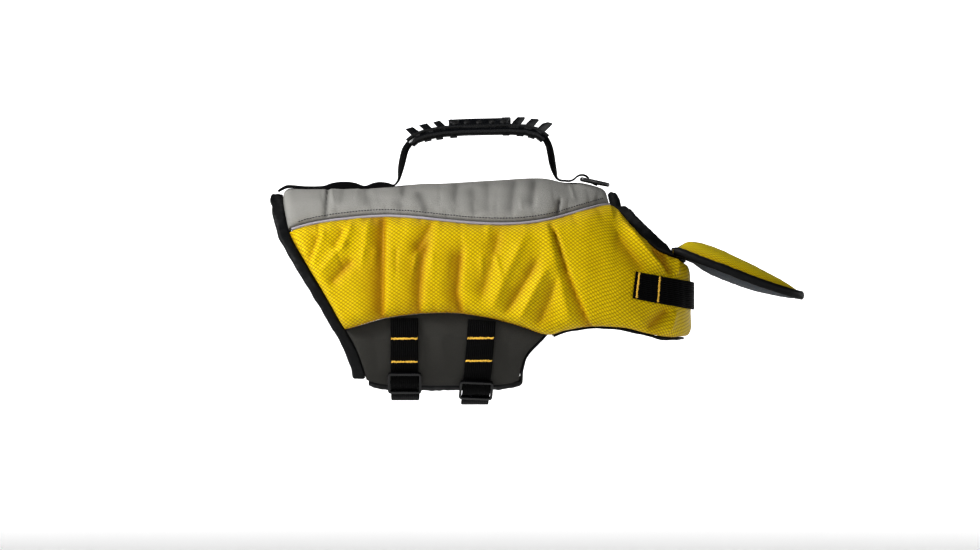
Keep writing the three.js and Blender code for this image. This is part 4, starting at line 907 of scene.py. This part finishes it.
belly = {"pad": 6, "edge": 4, "lip": 3}
bellyCreases = [
    {"path": [(-66, -122), (-62, -140), (-60, -160)], "rise": -0.9, "before": 7, "after": 5},
    {"path": [(-20, -112), (-12, -132), (-16, -160)], "rise": -1.2, "before": 7, "after": 6},
    {"path": [(4, -118), (-2, -138), (4, -166)], "rise": 0.9, "before": 7, "after": 6},
    {"path": [(64, -124), (58, -142), (62, -160)], "rise": -1.1, "before": 6, "after": 6},
]


def bellyEdge(line, start, level):
    x = np.full_like(level(0.0 * start), 0.0) + start
    for _ in range(40):
        x = mix(x, line(level(x)), 0.6)
    return x


def bellyPlace(mirrored):
    def place(u, v, outside):
        v = eased(v, 0.3)

        def level(x):
            return mix(lowerHeight(x) - 2 * seam, bellyHeight(x), v)

        rear = bellyEdge(rearX, np.full_like(v, -80.0), level) + seam
        front = bellyEdge(bellyFrontX, np.full_like(v, 80.0), level) - seam
        x = mix(rear, front, eased(u, 0.25))
        z = level(x)
        thickness = mix(belly["lip"], belly["edge"], unit(v / 0.3))
        pillow = rise(z - bellyHeight(x), 9) * rise(x - rear, 8) * rise(front - x, 8) * unit(v / 0.3)
        height = thickness + (belly["pad"] - belly["edge"]) * pillow
        height = height + (creaseHeight(x, z, bellyCreases) + 0.3 * wobble(x, z, 22, 41)) * pillow * 0.8
        inner = np.zeros_like(x)
        angle = angleAt(x, z)
        points = skin(runAt(x), angle, np.where(outside, np.maximum(height, 1.5), inner))
        if mirrored:
            points[:, 1] *= -1
        down = girthLength(runAt(x), 0 * angle, angle)
        # painted shade: darker at the top, under the side panel's hem, and at the bottom edge by the binding
        hollow = np.exp(-np.maximum(lowerHeight(x) - z, 0) / 2.6) + 0.8 * np.exp(-(z - bellyHeight(x)) / 1.2)
        return points, np.stack([x * mm, -down * mm], -1), unit(hollow)

    return place


for sideName, isLeft in (("Right", False), ("Left", True)):
    panel = clothWall("bellyCloth" + sideName, 100, 40, bellyPlace(isLeft), [bellyCloth, liningCloth])
    finished(panel, "jacket", ["belly_panel_" + sideName.lower()], 60)
print("belly panels made")


# Piping and binding tapes

def pipingPath(mirrored, count=260):
    x = np.linspace(-139.5, 152, count)
    points = skin(runAt(x), angleAt(x, upperHeight(x) + saddle["piping"] + seam), np.full_like(x, 4.4))
    if mirrored:
        points[:, 1] *= -1
    return points


for sideName, isLeft in (("Right", False), ("Left", True)):
    path = pipingPath(isLeft)
    around = np.repeat(oval(1.6, 1.6, 12)[None], len(path), 0)
    cord = sweep("piping" + sideName, path, np.tile([0.0, 0.0, 1.0], (len(path), 1)), around, pipingCord)
    finished(cord, "jacket", ["piping_" + sideName.lower()], 80)

tapes = {"rows": 20, "step": 1.1, "wrinkle": 0.75, "sway": 1.1, "cloth": 0.7, "mouth": 0.35}


# A tape folded in two along its far edge. Each stop holds its two edge points, the near one at the
# panel's edge, and their outward directions.
def tapePiece(name, stops, thickness, node, seed):
    stops = np.array(stops, float)
    middle = (stops[:, 0:3] + stops[:, 3:6]) / 2
    packed = np.hstack([middle, stops, np.broadcast_to(np.reshape(thickness, (-1, 1)), (len(stops), 1))])
    length = float(np.sum(np.linalg.norm(np.diff(middle, axis=0), axis=1)))
    count = int(length / tapes["step"])
    dense = through(packed, count + 1)
    thin = float(np.min(dense[:, 15]))
    width = float(np.mean(np.linalg.norm(dense[:, 3:6] - dense[:, 6:9], axis=1)))
    tall = (thin + 1.4) / 2
    bend = np.linspace(-math.pi + tapes["mouth"], math.pi - tapes["mouth"], 61)
    around = np.stack([width / 2 * signedPower(np.cos(bend), 0.6), tall * signedPower(np.sin(bend), 0.7)], -1)
    cut = float(np.sum(np.linalg.norm(np.diff(around, axis=0), axis=1)))

    def place(u, v, outside):
        i = np.clip(np.round(u * count).astype(int), 0, count)
        row = dense[i]
        s = u * length
        phi = (2 * v - 1) * (math.pi - tapes["mouth"])
        sideways, up = signedPower(np.cos(phi), 0.6), signedPower(np.sin(phi), 0.7)
        t = 0.5 + 0.5 * sideways
        a, b = row[:, 3:6], row[:, 6:9]
        across = normalised(b - a)
        wide = np.linalg.norm(b - a, axis=1)
        normal = normalised(mix(row[:, 9:12], row[:, 12:15], t[:, None]))
        sway = tapes["sway"] * wobble(s, 0 * s, 19, seed) * unit(sideways + 0.4)
        crumple = tapes["wrinkle"] * wobble(s, 3 * t * width, 9, seed + 1) * unit(2 * up)
        within = np.where(outside, 0, tapes["cloth"])
        c = (wide / 2 - within) * sideways + sway
        h = (row[:, 15] - 0.6) / 2 + (tall + (row[:, 15] - thin) / 2 - within) * up
        h = h + crumple * np.where(outside, 1, 0.8)
        points = (a + b) / 2 + across * c[:, None] + normal * h[:, None]
        return points, np.stack([s * mm, (v - 0.5) * cut * mm], -1), 0.0

    piece = clothWall(name, count, tapes["rows"], place, [bindingTape])
    finished(piece, "jacket", [node], 60)
    print(name, "cut", round(length), "by", round(cut, 1), "mm, folded in two")
    return piece


def tapeStop(fromRun, fromAngle, toRun, toAngle):
    one = lambda value: np.array([float(value)])
    a, b = form(one(fromRun), one(fromAngle))[0], form(one(toRun), one(toAngle))[0]
    return [*a, *b, *outward(one(fromRun), one(fromAngle))[0], *outward(one(toRun), one(toAngle))[0]]


def mirroredStop(stop):
    return [value * (-1 if k % 3 == 1 else 1) for k, value in enumerate(stop)]


def overSpine(line, start, downTo, shift, steps):
    stops = []
    for i in range(steps + 1):
        spots = []
        for distance in (0, shift):
            x, angle = float(start), 0.0
            for _ in range(60):
                angle = float(i / steps * angleAt(x, downTo))
                x = float(mix(x, line(form(np.array(float(runAt(x))), np.array(angle))[2]) + distance, 0.6))
            spots += [float(runAt(x)), angle]
        stops.append(tapeStop(*spots))
    return stops


rearStops = overSpine(rearX, -120, -166.5, -11.5, 18)
tapePiece(
    "rearTape", [mirroredStop(stop) for stop in rearStops[:0:-1]] + rearStops, 5, "rear_binding", 50
)

neckLine = [
    (158.5, 9.4, 3.4), (163, 8, 6), (170, 6.6, 8.4), (178, 5.6, 9), (187, 4.6, 9.4), (196, 3, 9.6),
    (202, 1.4, 8.6), (206, 0.5, 4.6),
]
neckOver = overSpine(saddleFrontX, 150, -15.5, 10.4, 6)
neckDown = []
for x, ahead, above in neckLine:
    z = float(upperHeight(x)) + 2 * seam
    neckDown.append((
        float(runAt(x)),
        tapeStop(runAt(x), angleAt(x, z), runAt(x + ahead), angleAt(x + ahead, z + above)),
    ))


def neckOnChest(run):
    x = float(planX(run))
    z = float(upperHeight(x)) + 2 * seam
    rim = mix(-57.9, z + 8.4, float(unit((abs(run) - 47) / 13)))
    return tapeStop(run, angleAt(x, z), run, angleAt(x, rim))


slit = -chestEnd - chestSlit
neckThickness = {"spine": 10, "side": 5}
neckLeft = neckOver[1:] + [stop for run, stop in neckDown if run < slit - 9] + [neckOnChest(slit)]
neckRight = neckOver + [stop for run, stop in neckDown]
chestRuns = [-47, -36, -24, -12, 0, 12, 24, 36, 47, 54, chestEnd]
neckStops = [mirroredStop(stop) for stop in neckLeft[::-1]] + neckRight + [neckOnChest(run) for run in chestRuns]
fromSpine = np.abs(np.arange(len(neckStops)) - len(neckLeft)) / 6
neckThick = mix(neckThickness["spine"], neckThickness["side"], unit(fromSpine) ** 2)
tapePiece("neckTape", neckStops, neckThick, "neck_binding", 60)


def hemStops(end, mirrored):
    start = float(runAt(101))
    steps = round((end - start) / 12)
    stops = []
    for i in range(steps + 1):
        run = mix(start, end, i / steps)
        x = float(planX(run))
        z = float(lowerHeight(x)) - 2.4 * seam
        stops.append(tapeStop(run, angleAt(x, z), run, angleAt(x, z - 2.2)))
    return [mirroredStop(stop) for stop in stops] if mirrored else stops


tapePiece("hemTapeRight", hemStops(chestEnd, False), 3.6, "hem_binding_right", 70)
tapePiece("hemTapeLeft", hemStops(slit, True), 3.6, "hem_binding_left", 72)


def bellyTapeStops(mirrored):
    stops = []
    for x in (-69, -62, -52, -40, -24, -8, 8, 24, 40, 52, 60):
        z = float(bellyHeight(x)) - seam
        stops.append(tapeStop(runAt(x), angleAt(x, z), runAt(x), angleAt(x, z - 4.6)))
    for z in (-169.4, -164, -158, -150, -143, -137, -131, -127.6):
        x = float(bellyFrontX(z)) + seam
        share = float(unit((z + 169.4) / 6))
        ahead, above = mix(1.4, 1.9, share), -mix(3.4, 0.4, share)
        stops.append(tapeStop(runAt(x), angleAt(x, z), runAt(x + ahead), angleAt(x + ahead, z + above)))
    return [mirroredStop(stop) for stop in stops] if mirrored else stops


tapePiece("bellyTapeRight", bellyTapeStops(False), 4, "belly_binding_right", 74)
tapePiece("bellyTapeLeft", bellyTapeStops(True), 4, "belly_binding_left", 76)
print("tapes made")


# Chin float

floatRows = [
    {"x": 219, "z": -52.8, "halfWidth": 37, "above": 3, "below": 2},
    {"x": 222.5, "z": -53.2, "halfWidth": 38.5, "above": 7.5, "below": 2.1},
    {"x": 226.5, "z": -54.6, "halfWidth": 40, "above": 10.6, "below": 2.4},
    {"x": 232, "z": -57.2, "halfWidth": 41.5, "above": 13.6, "below": 6.2},
    {"x": 242, "z": -61.8, "halfWidth": 43.5, "above": 16.2, "below": 8.8},
    {"x": 256, "z": -67.6, "halfWidth": 45, "above": 17, "below": 9.7},
    {"x": 272, "z": -74, "halfWidth": 44.5, "above": 16.2, "below": 9.6},
    {"x": 288, "z": -80.2, "halfWidth": 42, "above": 14.6, "below": 8.6},
    {"x": 302, "z": -85, "halfWidth": 37.5, "above": 12.2, "below": 7.2},
    {"x": 313, "z": -88.6, "halfWidth": 31.5, "above": 9.8, "below": 5.8},
    {"x": 321, "z": -91, "halfWidth": 25, "above": 7.4, "below": 4.6},
    {"x": 326.5, "z": -92.4, "halfWidth": 18, "above": 5, "below": 3.6},
    {"x": 330, "z": -93.2, "halfWidth": 10, "above": 2.6, "below": 2.6},
]
floatEdge = 2.4
floatAt = {key: smooth([(row["x"], row[key]) for row in floatRows]) for key in ("z", "halfWidth", "above", "below")}


def floatSpot(x, share, outside=0.0):
    y = share * (floatAt["halfWidth"](x) + outside)
    sideShare = unit(np.abs(y) / halfWidth(noseStart))
    reach = np.sqrt(1 - sideShare**noseExponent) ** (2 / noseExponent)
    chestX = mix(noseStart, noseTip, reach)
    toBase = unit((260 - x) / (260 - noseTip)) ** 2
    return np.stack([x + (chestX - noseTip) * toBase, y, floatAt["z"](x)], -1)


def floatPlace(u, v, outside):
    x = mix(219, 330, eased(u, 0.55))
    share = 2 * eased(v, 0.6) - 1
    crown = (1 - np.abs(share) ** 2.6) ** 0.75
    points = floatSpot(x, share)
    full = np.where(outside, floatAt["above"](x), floatAt["below"](x))
    height = floatEdge + (full - floatEdge) * crown
    near = np.exp(-(x - 219) / 16)
    folds = 0.9 * wobble(60 * share, x * 0.3, 14, 81) * near + 0.5 * wobble(60 * share, x, 30, 82)
    height = height + folds * crown + 0.35 * wobble(60 * share, x, 9, 83) * crown
    points[:, 2] += np.where(outside, height, -height)
    # the third value is painted shade, darker towards the float's side edges
    return points, np.stack([x * mm, share * 45 * mm], -1), unit(np.exp(-(1 - np.abs(share)) * 9))


chinFloat = clothWall("chinFloat", 110, 80, floatPlace, [lemonCloth, slateCloth])
finished(chinFloat, "jacket", ["chin_float"], 60)

rim = [floatSpot(np.array([float(row["x"])]), np.array([-1.0]))[0] for row in floatRows]
rim = rim + [point * np.array([1, -1, 1]) for point in rim[::-1]]
rim = through(rim, 220)
rimWay = np.gradient(rim, axis=0)
rimAcross = normalised(np.stack([rimWay[:, 1], -rimWay[:, 0], 0 * rimWay[:, 0]], -1))
rimPath = rim + rimAcross * 2.2
rimSection = np.array([
    (-1.6, -3.6), (-0.6, -4.0), (0.8, -3.7), (1.8, -2.4), (2.2, 0), (1.8, 2.4), (0.8, 3.7), (-0.6, 4.0),
    (-1.6, 3.6), (-1.6, 0),
])
rimWaves = 1 + 0.1 * wobble(np.arange(220) * 1.2, np.zeros(220), 10, 90)
floatTape = sweep("floatTape", rimPath, rimAcross, rimSection[None] * rimWaves[:, None, None], bindingTape)
finished(floatTape, "jacket", ["float_binding"], 60)
print("chin float made")


# Straps

chestRoute = [
    (175.3, -83.0, -83.3), (183.0, -79.4, -85.0), (190.8, -75.9, -86.5), (198.6, -71.7, -87.9),
    (205.7, -66.3, -89.3), (212.7, -60.7, -90.4), (218.5, -53.4, -91.5), (222.7, -45.4, -92.3),
    (227.0, -37.4, -92.9), (229.5, -28.8, -93.4), (230.7, -20.4, -93.6), (231.4, -12.1, -93.8),
    (231.8, -4.2, -93.8), (231.8, 3.3, -93.8), (231.4, 11.2, -93.8), (230.7, 19.3, -93.7),
    (229.6, 27.8, -93.4), (227.4, 36.3, -93.0), (223.8, 44.6, -92.4), (219.0, 52.4, -91.6),
    (213.4, 59.9, -90.6), (206.8, 65.1, -89.4), (199.4, 71.0, -88.1),
]
chestLoop = [
    (187.2, 86.0, -81.9), (181.8, 86.8, -82.1), (178.3, 87.3, -82.2), (176.5, 88.4, -82.2),
    (176.0, 90.5, -81.9), (177.1, 92.3, -81.6), (179.1, 92.8, -81.5), (188.5, 87.9, -81.6),
    (196.4, 86.7, -81.4),
]
chestEndRoute = [
    (95.4, 93.5, -85.0), (101.9, 93.1, -84.9), (108.1, 92.0, -84.7), (114.2, 91.7, -84.6),
    (120.4, 92.3, -84.5), (124.0, 95.4, -83.9), (129.4, 94.6, -83.7), (132.9, 94.1, -83.6),
    (134.9, 94.6, -83.5), (136.0, 96.4, -83.2), (135.5, 98.5, -82.9), (133.7, 99.6, -82.9),
    (123.3, 97.6, -83.6), (115.4, 98.8, -83.9),
]
chestAcross = (0.04996, 0.13070, -0.99016)
bellyRoutes = {
    "rear": {
        "path": [
            (-35.8, -77.4, -114.0), (-35.8, -77.5, -121.9), (-35.8, -77.0, -130.1), (-35.8, -74.9, -138.2),
            (-35.8, -72.0, -146.4), (-35.8, -68.1, -154.5), (-35.8, -64.6, -159.5), (-35.8, -60.5, -164.6),
            (-35.8, -59.6, -172.3), (-35.8, -56.2, -176.7), (-35.8, -48.9, -179.4), (-35.8, -44.8, -184.5),
            (-35.8, -38.3, -187.6), (-35.8, -28.8, -189.3), (-35.8, 0.0, -190.0), (-35.8, 28.8, -189.3),
            (-35.8, 38.3, -187.6), (-35.8, 44.8, -184.5), (-36.0, 55.9, -173.5), (-36.1, 60.5, -170.4),
            (-36.2, 63.4, -168.5), (-36.3, 65.5, -168.0), (-36.4, 67.3, -169.2), (-36.5, 67.7, -171.3),
            (-36.4, 66.5, -173.1), (-36.1, 56.3, -175.8), (-35.9, 49.7, -180.3),
        ],
        "end": [
            (-35.8, 77.9, -114.0), (-36.2, 82.5, -122.8), (-36.2, 81.9, -124.2), (-36.2, 80.5, -127.4),
            (-36.2, 80.5, -129.6), (-36.3, 82.0, -131.1), (-36.4, 84.1, -131.1), (-36.5, 85.7, -129.6),
        ],
        "across": (0.99895, 0.04207, -0.01810),
        "tacks": [-131.8, -153.3],
    },
    "front": {
        "path": [
            (35.5, -79.0, -115.8), (34.8, -78.9, -125.0), (34.0, -77.9, -134.4), (33.3, -74.7, -143.6),
            (32.5, -70.5, -152.9), (31.8, -64.8, -162.3), (30.9, -60.6, -168.0), (30.5, -56.4, -172.0),
            (30.1, -54.4, -179.5), (29.8, -50.4, -183.3), (29.4, -42.8, -184.8), (29.1, -38.6, -188.8),
            (28.8, -32.1, -191.7), (28.7, -22.6, -193.3), (28.6, 0.0, -194.0), (28.7, 22.6, -193.3),
            (28.8, 32.1, -191.7), (29.1, 38.6, -188.8), (32.9, 57.6, -173.3), (32.8, 62.3, -170.3),
            (32.8, 65.2, -168.5), (32.8, 67.3, -168.1), (32.8, 69.1, -169.3), (32.8, 69.5, -171.4),
            (32.8, 68.2, -173.2), (32.9, 57.9, -175.6), (32.9, 51.2, -179.9),
        ],
        "end": [
            (35.5, 79.5, -115.9), (32.8, 85.0, -123.1), (32.8, 84.4, -124.5), (32.8, 83.0, -127.7),
            (32.8, 82.9, -129.8), (32.8, 84.4, -131.4), (32.8, 86.5, -131.4), (32.8, 88.1, -130.0),
        ],
        "across": (0.99997, 0.00726, -0.00325),
        "tacks": [-131.5, -152.6],
    },
}


def outwardNear(point):
    gap = np.hypot(outlineX - point[0], np.abs(outlineY) - abs(point[1]))
    run = outlineRun[int(np.argmin(gap))] * (1 if point[1] < 0 else -1)
    x = float(planX(run))
    return outward(np.array([run]), np.array([float(angleAt(x, point[2]))]))[0]


def acrossAlong(route):
    route = np.array(route, float)
    forward = normalised(np.gradient(route, axis=0))
    return [np.cross(way, outwardNear(point)) for way, point in zip(forward, route)]


loopAcross = np.array(chestAcross)
chestHints = acrossAlong(chestRoute)
if np.dot(chestHints[-1], loopAcross) < 0:
    loopAcross = -loopAcross
chestStrap, chestBand = ribbon(
    "chestStrap", chestRoute + chestLoop, chestHints + [loopAcross] * len(chestLoop), 240, blackWebbing
)
finished(chestStrap, "jacket", ["chest_strap"], 40)
chestStrapEnd, chestEndBand = ribbon(
    "chestStrapEnd", chestEndRoute, [chestAcross] * len(chestEndRoute), 120, blackWebbing
)
finished(chestStrapEnd, "jacket", ["chest_strap_end"], 40)

for name, route in bellyRoutes.items():
    flat = 18
    hints = [(1, 0, 0)] * flat + [route["across"]] * (len(route["path"]) - flat)
    strap, band = ribbon("bellyStrap" + name.title(), route["path"], hints, 280, blackWebbing)
    finished(strap, "jacket", ["belly_strap_" + name], 40)
    end, endBand = ribbon(
        "bellyStrapEnd" + name.title(), route["end"], [route["across"]] * len(route["end"]), 60, blackWebbing
    )
    finished(end, "jacket", ["belly_strap_" + name + "_end"], 40)
    away = np.concatenate([[0], np.cumsum(np.linalg.norm(np.diff(band[:, :3], axis=0), axis=1))])
    for k, height in enumerate(route["tacks"]):
        distance = away[int(np.argmax(band[:, 2] < height))]
        tackRow("tack%s%d" % (name.title(), k + 1), band, distance, 100 + k)
tackRow("tackChest1", chestBand, 2.2, 110)
tackRow("tackChest2", chestBand, 24, 111)
tackRow("tackChestEnd", chestEndBand, 6, 112)
print("straps made")


# Back webbing

tailRows = [
    (-154, 8.8, 4), (-149.5, 11.4, 5), (-146, 12.8, 5), (-141, 13, 4), (-128, 12, 4), (-112, 12, 6),
    (-104, 13.3, 12), (-94, 14.1, 14), (-84, 13.5, 12), (-76, 12.1, 5), (-72, 12.1, 4), (-66, 12.8, 11),
    (-60, 13.2, 13), (-53, 12.7, 10), (-47, 12.1, 3),
]
handleRows = [
    (-43.6, 11.6, 0), (-41.7, 15.5, 0.4), (-40.2, 23, 1.5), (-38.2, 32, 2.9), (-35.6, 42, 4.1),
    (-31.6, 48, 4.7), (-26, 52.6, 4.8), (-16, 56.2, 4.8), (0, 58.8, 4.8), (18, 60, 4.8), (40, 60.6, 4.8),
    (60, 60.9, 4.8), (76, 60.2, 4.8), (87, 57.4, 4.8), (94, 52, 4.8), (97.4, 45.5, 4.6), (99, 38, 3.7),
    (100.6, 29, 2.5), (102.8, 21, 1.2), (105, 15.6, 0.2),
]
ringRows = [
    (108.4, 13.6), (112.5, 13.2), (117, 13), (120.5, 14.4), (123.6, 17), (126.6, 18.4), (130, 18.4),
    (133.4, 16.6), (135.4, 12.8), (138.6, 10.8), (142.5, 9),
]
settle = 0.7  # the solids leave a gap under the band, which the cloth closes
backPath = [(x, 0, float(spineHeight(x)) + lift - settle, 0, tilt) for x, lift, tilt in tailRows]
backPath += [(x, 0, z, curl, 0) for x, z, curl in handleRows]
backPath += [(x, 0, z, 0, 0) for x, z in ringRows]
backDense = through(backPath, 420)
backSections = np.stack([webSection(max(0.0, row[3])) for row in backDense])
lean = np.radians(backDense[:, 4])
backAcross = np.stack([0 * lean, np.cos(lean), np.sin(lean)], -1)
backBand = sweep("backWebbing", backDense[:, :3], backAcross, backSections, blackWebbing)
finished(backBand, "jacket", ["back_webbing"], 40)
print("back webbing made")


# Hard pieces keep their solids' shapes, with their edges rounded

def roundedCopy(node, name, finish, body, width, steps=2, from_=38, smoothAngle=32):
    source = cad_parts[node]
    piece = bpy.data.objects.new(name, source.data.copy())
    piece.data.name = name
    bpy.context.scene.collection.objects.link(piece)
    selectOnly(piece)
    bpy.ops.object.mode_set(mode="EDIT")
    bpy.ops.mesh.select_all(action="SELECT")
    bpy.ops.mesh.remove_doubles(threshold=0.00001)
    bpy.ops.mesh.dissolve_limited(angle_limit=math.radians(1))
    bpy.ops.object.mode_set(mode="OBJECT")
    edges = piece.modifiers.new("edges", "BEVEL")
    edges.width, edges.segments, edges.limit_method = width * mm, steps, "ANGLE"
    edges.angle_limit = math.radians(from_)
    bpy.ops.object.modifier_apply(modifier="edges")
    piece.data.materials.clear()
    piece.data.materials.append(finish)
    return finished(piece, body, [node], smoothAngle)


for node, name in (
    ("chest_buckle_socket", "chestBuckleSocket"), ("chest_buckle_prong", "chestBuckleProng"),
    ("belly_buckle_rear_socket", "rearBuckleSocket"), ("belly_buckle_rear_prong", "rearBuckleProng"),
    ("belly_buckle_front_socket", "frontBuckleSocket"), ("belly_buckle_front_prong", "frontBuckleProng"),
):
    roundedCopy(node, name, blackPlastic, "jacket", 0.45)
for node, name in (("slide_rear", "rearSlide"), ("slide_front", "frontSlide")):
    roundedCopy(node, name, blackPlastic, "jacket", 0.8, 3)
roundedCopy("handle_grip", "handleGrip", blackRubber, "jacket", 0.45)
roundedCopy("leash_ring", "leashRing", blackMetal, "ring", 0.35, 2, 25, 60)
print("hard pieces made")


# Stitches along the seams
stitches = {
    "piping": {"long": 1.9, "gap": 0.8, "thick": 0.95, "lift": 0.12, "above": 2.3},
    "lower": {"long": 2.0, "gap": 0.9, "thick": 0.8, "lift": 0.08, "above": 3.4},
    "rear": {"long": 2.0, "gap": 0.9, "thick": 0.8, "lift": 0.08},
}
for sideName, sign, cloth in (("Right", 1, right), ("Left", -1, left)):
    x = np.linspace(-134, 146, 260)
    z = upperHeight(x) + pipingWidth + stitches["piping"]["above"]
    rough = skin(runAt(x), angleAt(x, z), np.full_like(x, 6.5)) * [1, sign, 1]
    path, normals = ontoCloth(saddleCloth, rough)
    seamStitches("pipingStitches" + sideName, path, normals, stitches["piping"], darkThread)
    x = np.linspace(-88, 92, 180)
    z = lowerHeight(x) + stitches["lower"]["above"]
    rough = skin(runAt(x), angleAt(x, z), np.full_like(x, 8)) * [1, sign, 1]
    path, normals = ontoCloth(cloth, rough)
    seamStitches("lowerStitches" + sideName, path, normals, stitches["lower"], goldThread)
print("stitches made")


# Floor and light

studio = {
    "floorAt": -0.5, "flat": 7.5, "curve": 1.2, "reach": 9.9, "glow": 1.1, "world": 0.05,
    "lamps": {
        "key": {"place": (-1.45, -0.85, 0.95), "size": 0.5, "power": 54},
        "fill": {"place": (1.0, -2.6, 0.7), "size": 1.4, "power": 15},
        "top": {"place": (0.1, 0.5, 1.9), "size": 1.0, "power": 9},
    },
}
bpy.ops.object.select_all(action="DESELECT")
bpy.ops.mesh.primitive_grid_add(x_subdivisions=72, y_subdivisions=72, size=2, location=(0, 0, 0))
floor = bpy.context.object
floor.name = "floor"
floorCo = np.empty(len(floor.data.vertices) * 3)
floor.data.vertices.foreach_get("co", floorCo)
floorCo = floorCo.reshape(-1, 3)
# a round paper floor that turns up into a wall, outside every view's camera
away = np.abs(floorCo[:, :2]).max(1) * studio["reach"]
heading = normalised(floorCo[:, :2])
turned = np.clip((away - studio["flat"]) / studio["curve"], 0, math.pi / 2)
floorR = np.where(away < studio["flat"], away, studio["flat"] + studio["curve"] * np.sin(turned))
floorZ = studio["curve"] * (1 - np.cos(turned))
floorZ = floorZ + np.maximum(0, away - studio["flat"] - studio["curve"] * math.pi / 2)
bowl = np.stack([heading[:, 0] * floorR, heading[:, 1] * floorR, floorZ + studio["floorAt"]], -1)
floor.data.vertices.foreach_set("co", bowl.ravel())
floor.data.update()
selectOnly(floor)
bpy.ops.object.shade_smooth()
floorPaint = Paint("palePaper", 0.9, specular=0.2)
paper = floorPaint.noise(floorPaint.solid(), 3, 2)
floorPaint.colour(floorPaint.blend(paper, fromScreen(240, 240, 240), fromScreen(245, 245, 245)))
apart = floorPaint.node("ShaderNodeVectorMath", {"operation": "LENGTH"}, {0: floorPaint.solid()}, "Value")
glow = floorPaint.blend(((apart - 2.4) / 3.6).clipped(), (0.17, 0.17, 0.17), (1.0, 1.0, 1.0))
floorPaint.tree.links.new(glow.socket, floorPaint.shader.inputs["Emission Color"])
floorPaint.shader.inputs["Emission Strength"].default_value = studio["glow"]
floor.data.materials.append(floorPaint.material)

world = bpy.data.worlds.new("softWorld")
world.use_nodes = True
world.node_tree.nodes["Background"].inputs[0].default_value = (1, 1, 1, 1)
world.node_tree.nodes["Background"].inputs[1].default_value = studio["world"]
bpy.context.scene.world = world

for name, lamp in studio["lamps"].items():
    bpy.ops.object.light_add(type="AREA", location=lamp["place"])
    light = bpy.context.object
    light.name = name + "Light"
    light.visible_camera = False
    light.data.shape, light.data.size, light.data.energy = "SQUARE", lamp["size"], lamp["power"]
    aim = Vector((0.04, 0, -0.06)) - Vector(lamp["place"])
    light.rotation_euler = aim.to_track_quat("-Z", "Y").to_euler()
print("floor and lights made")
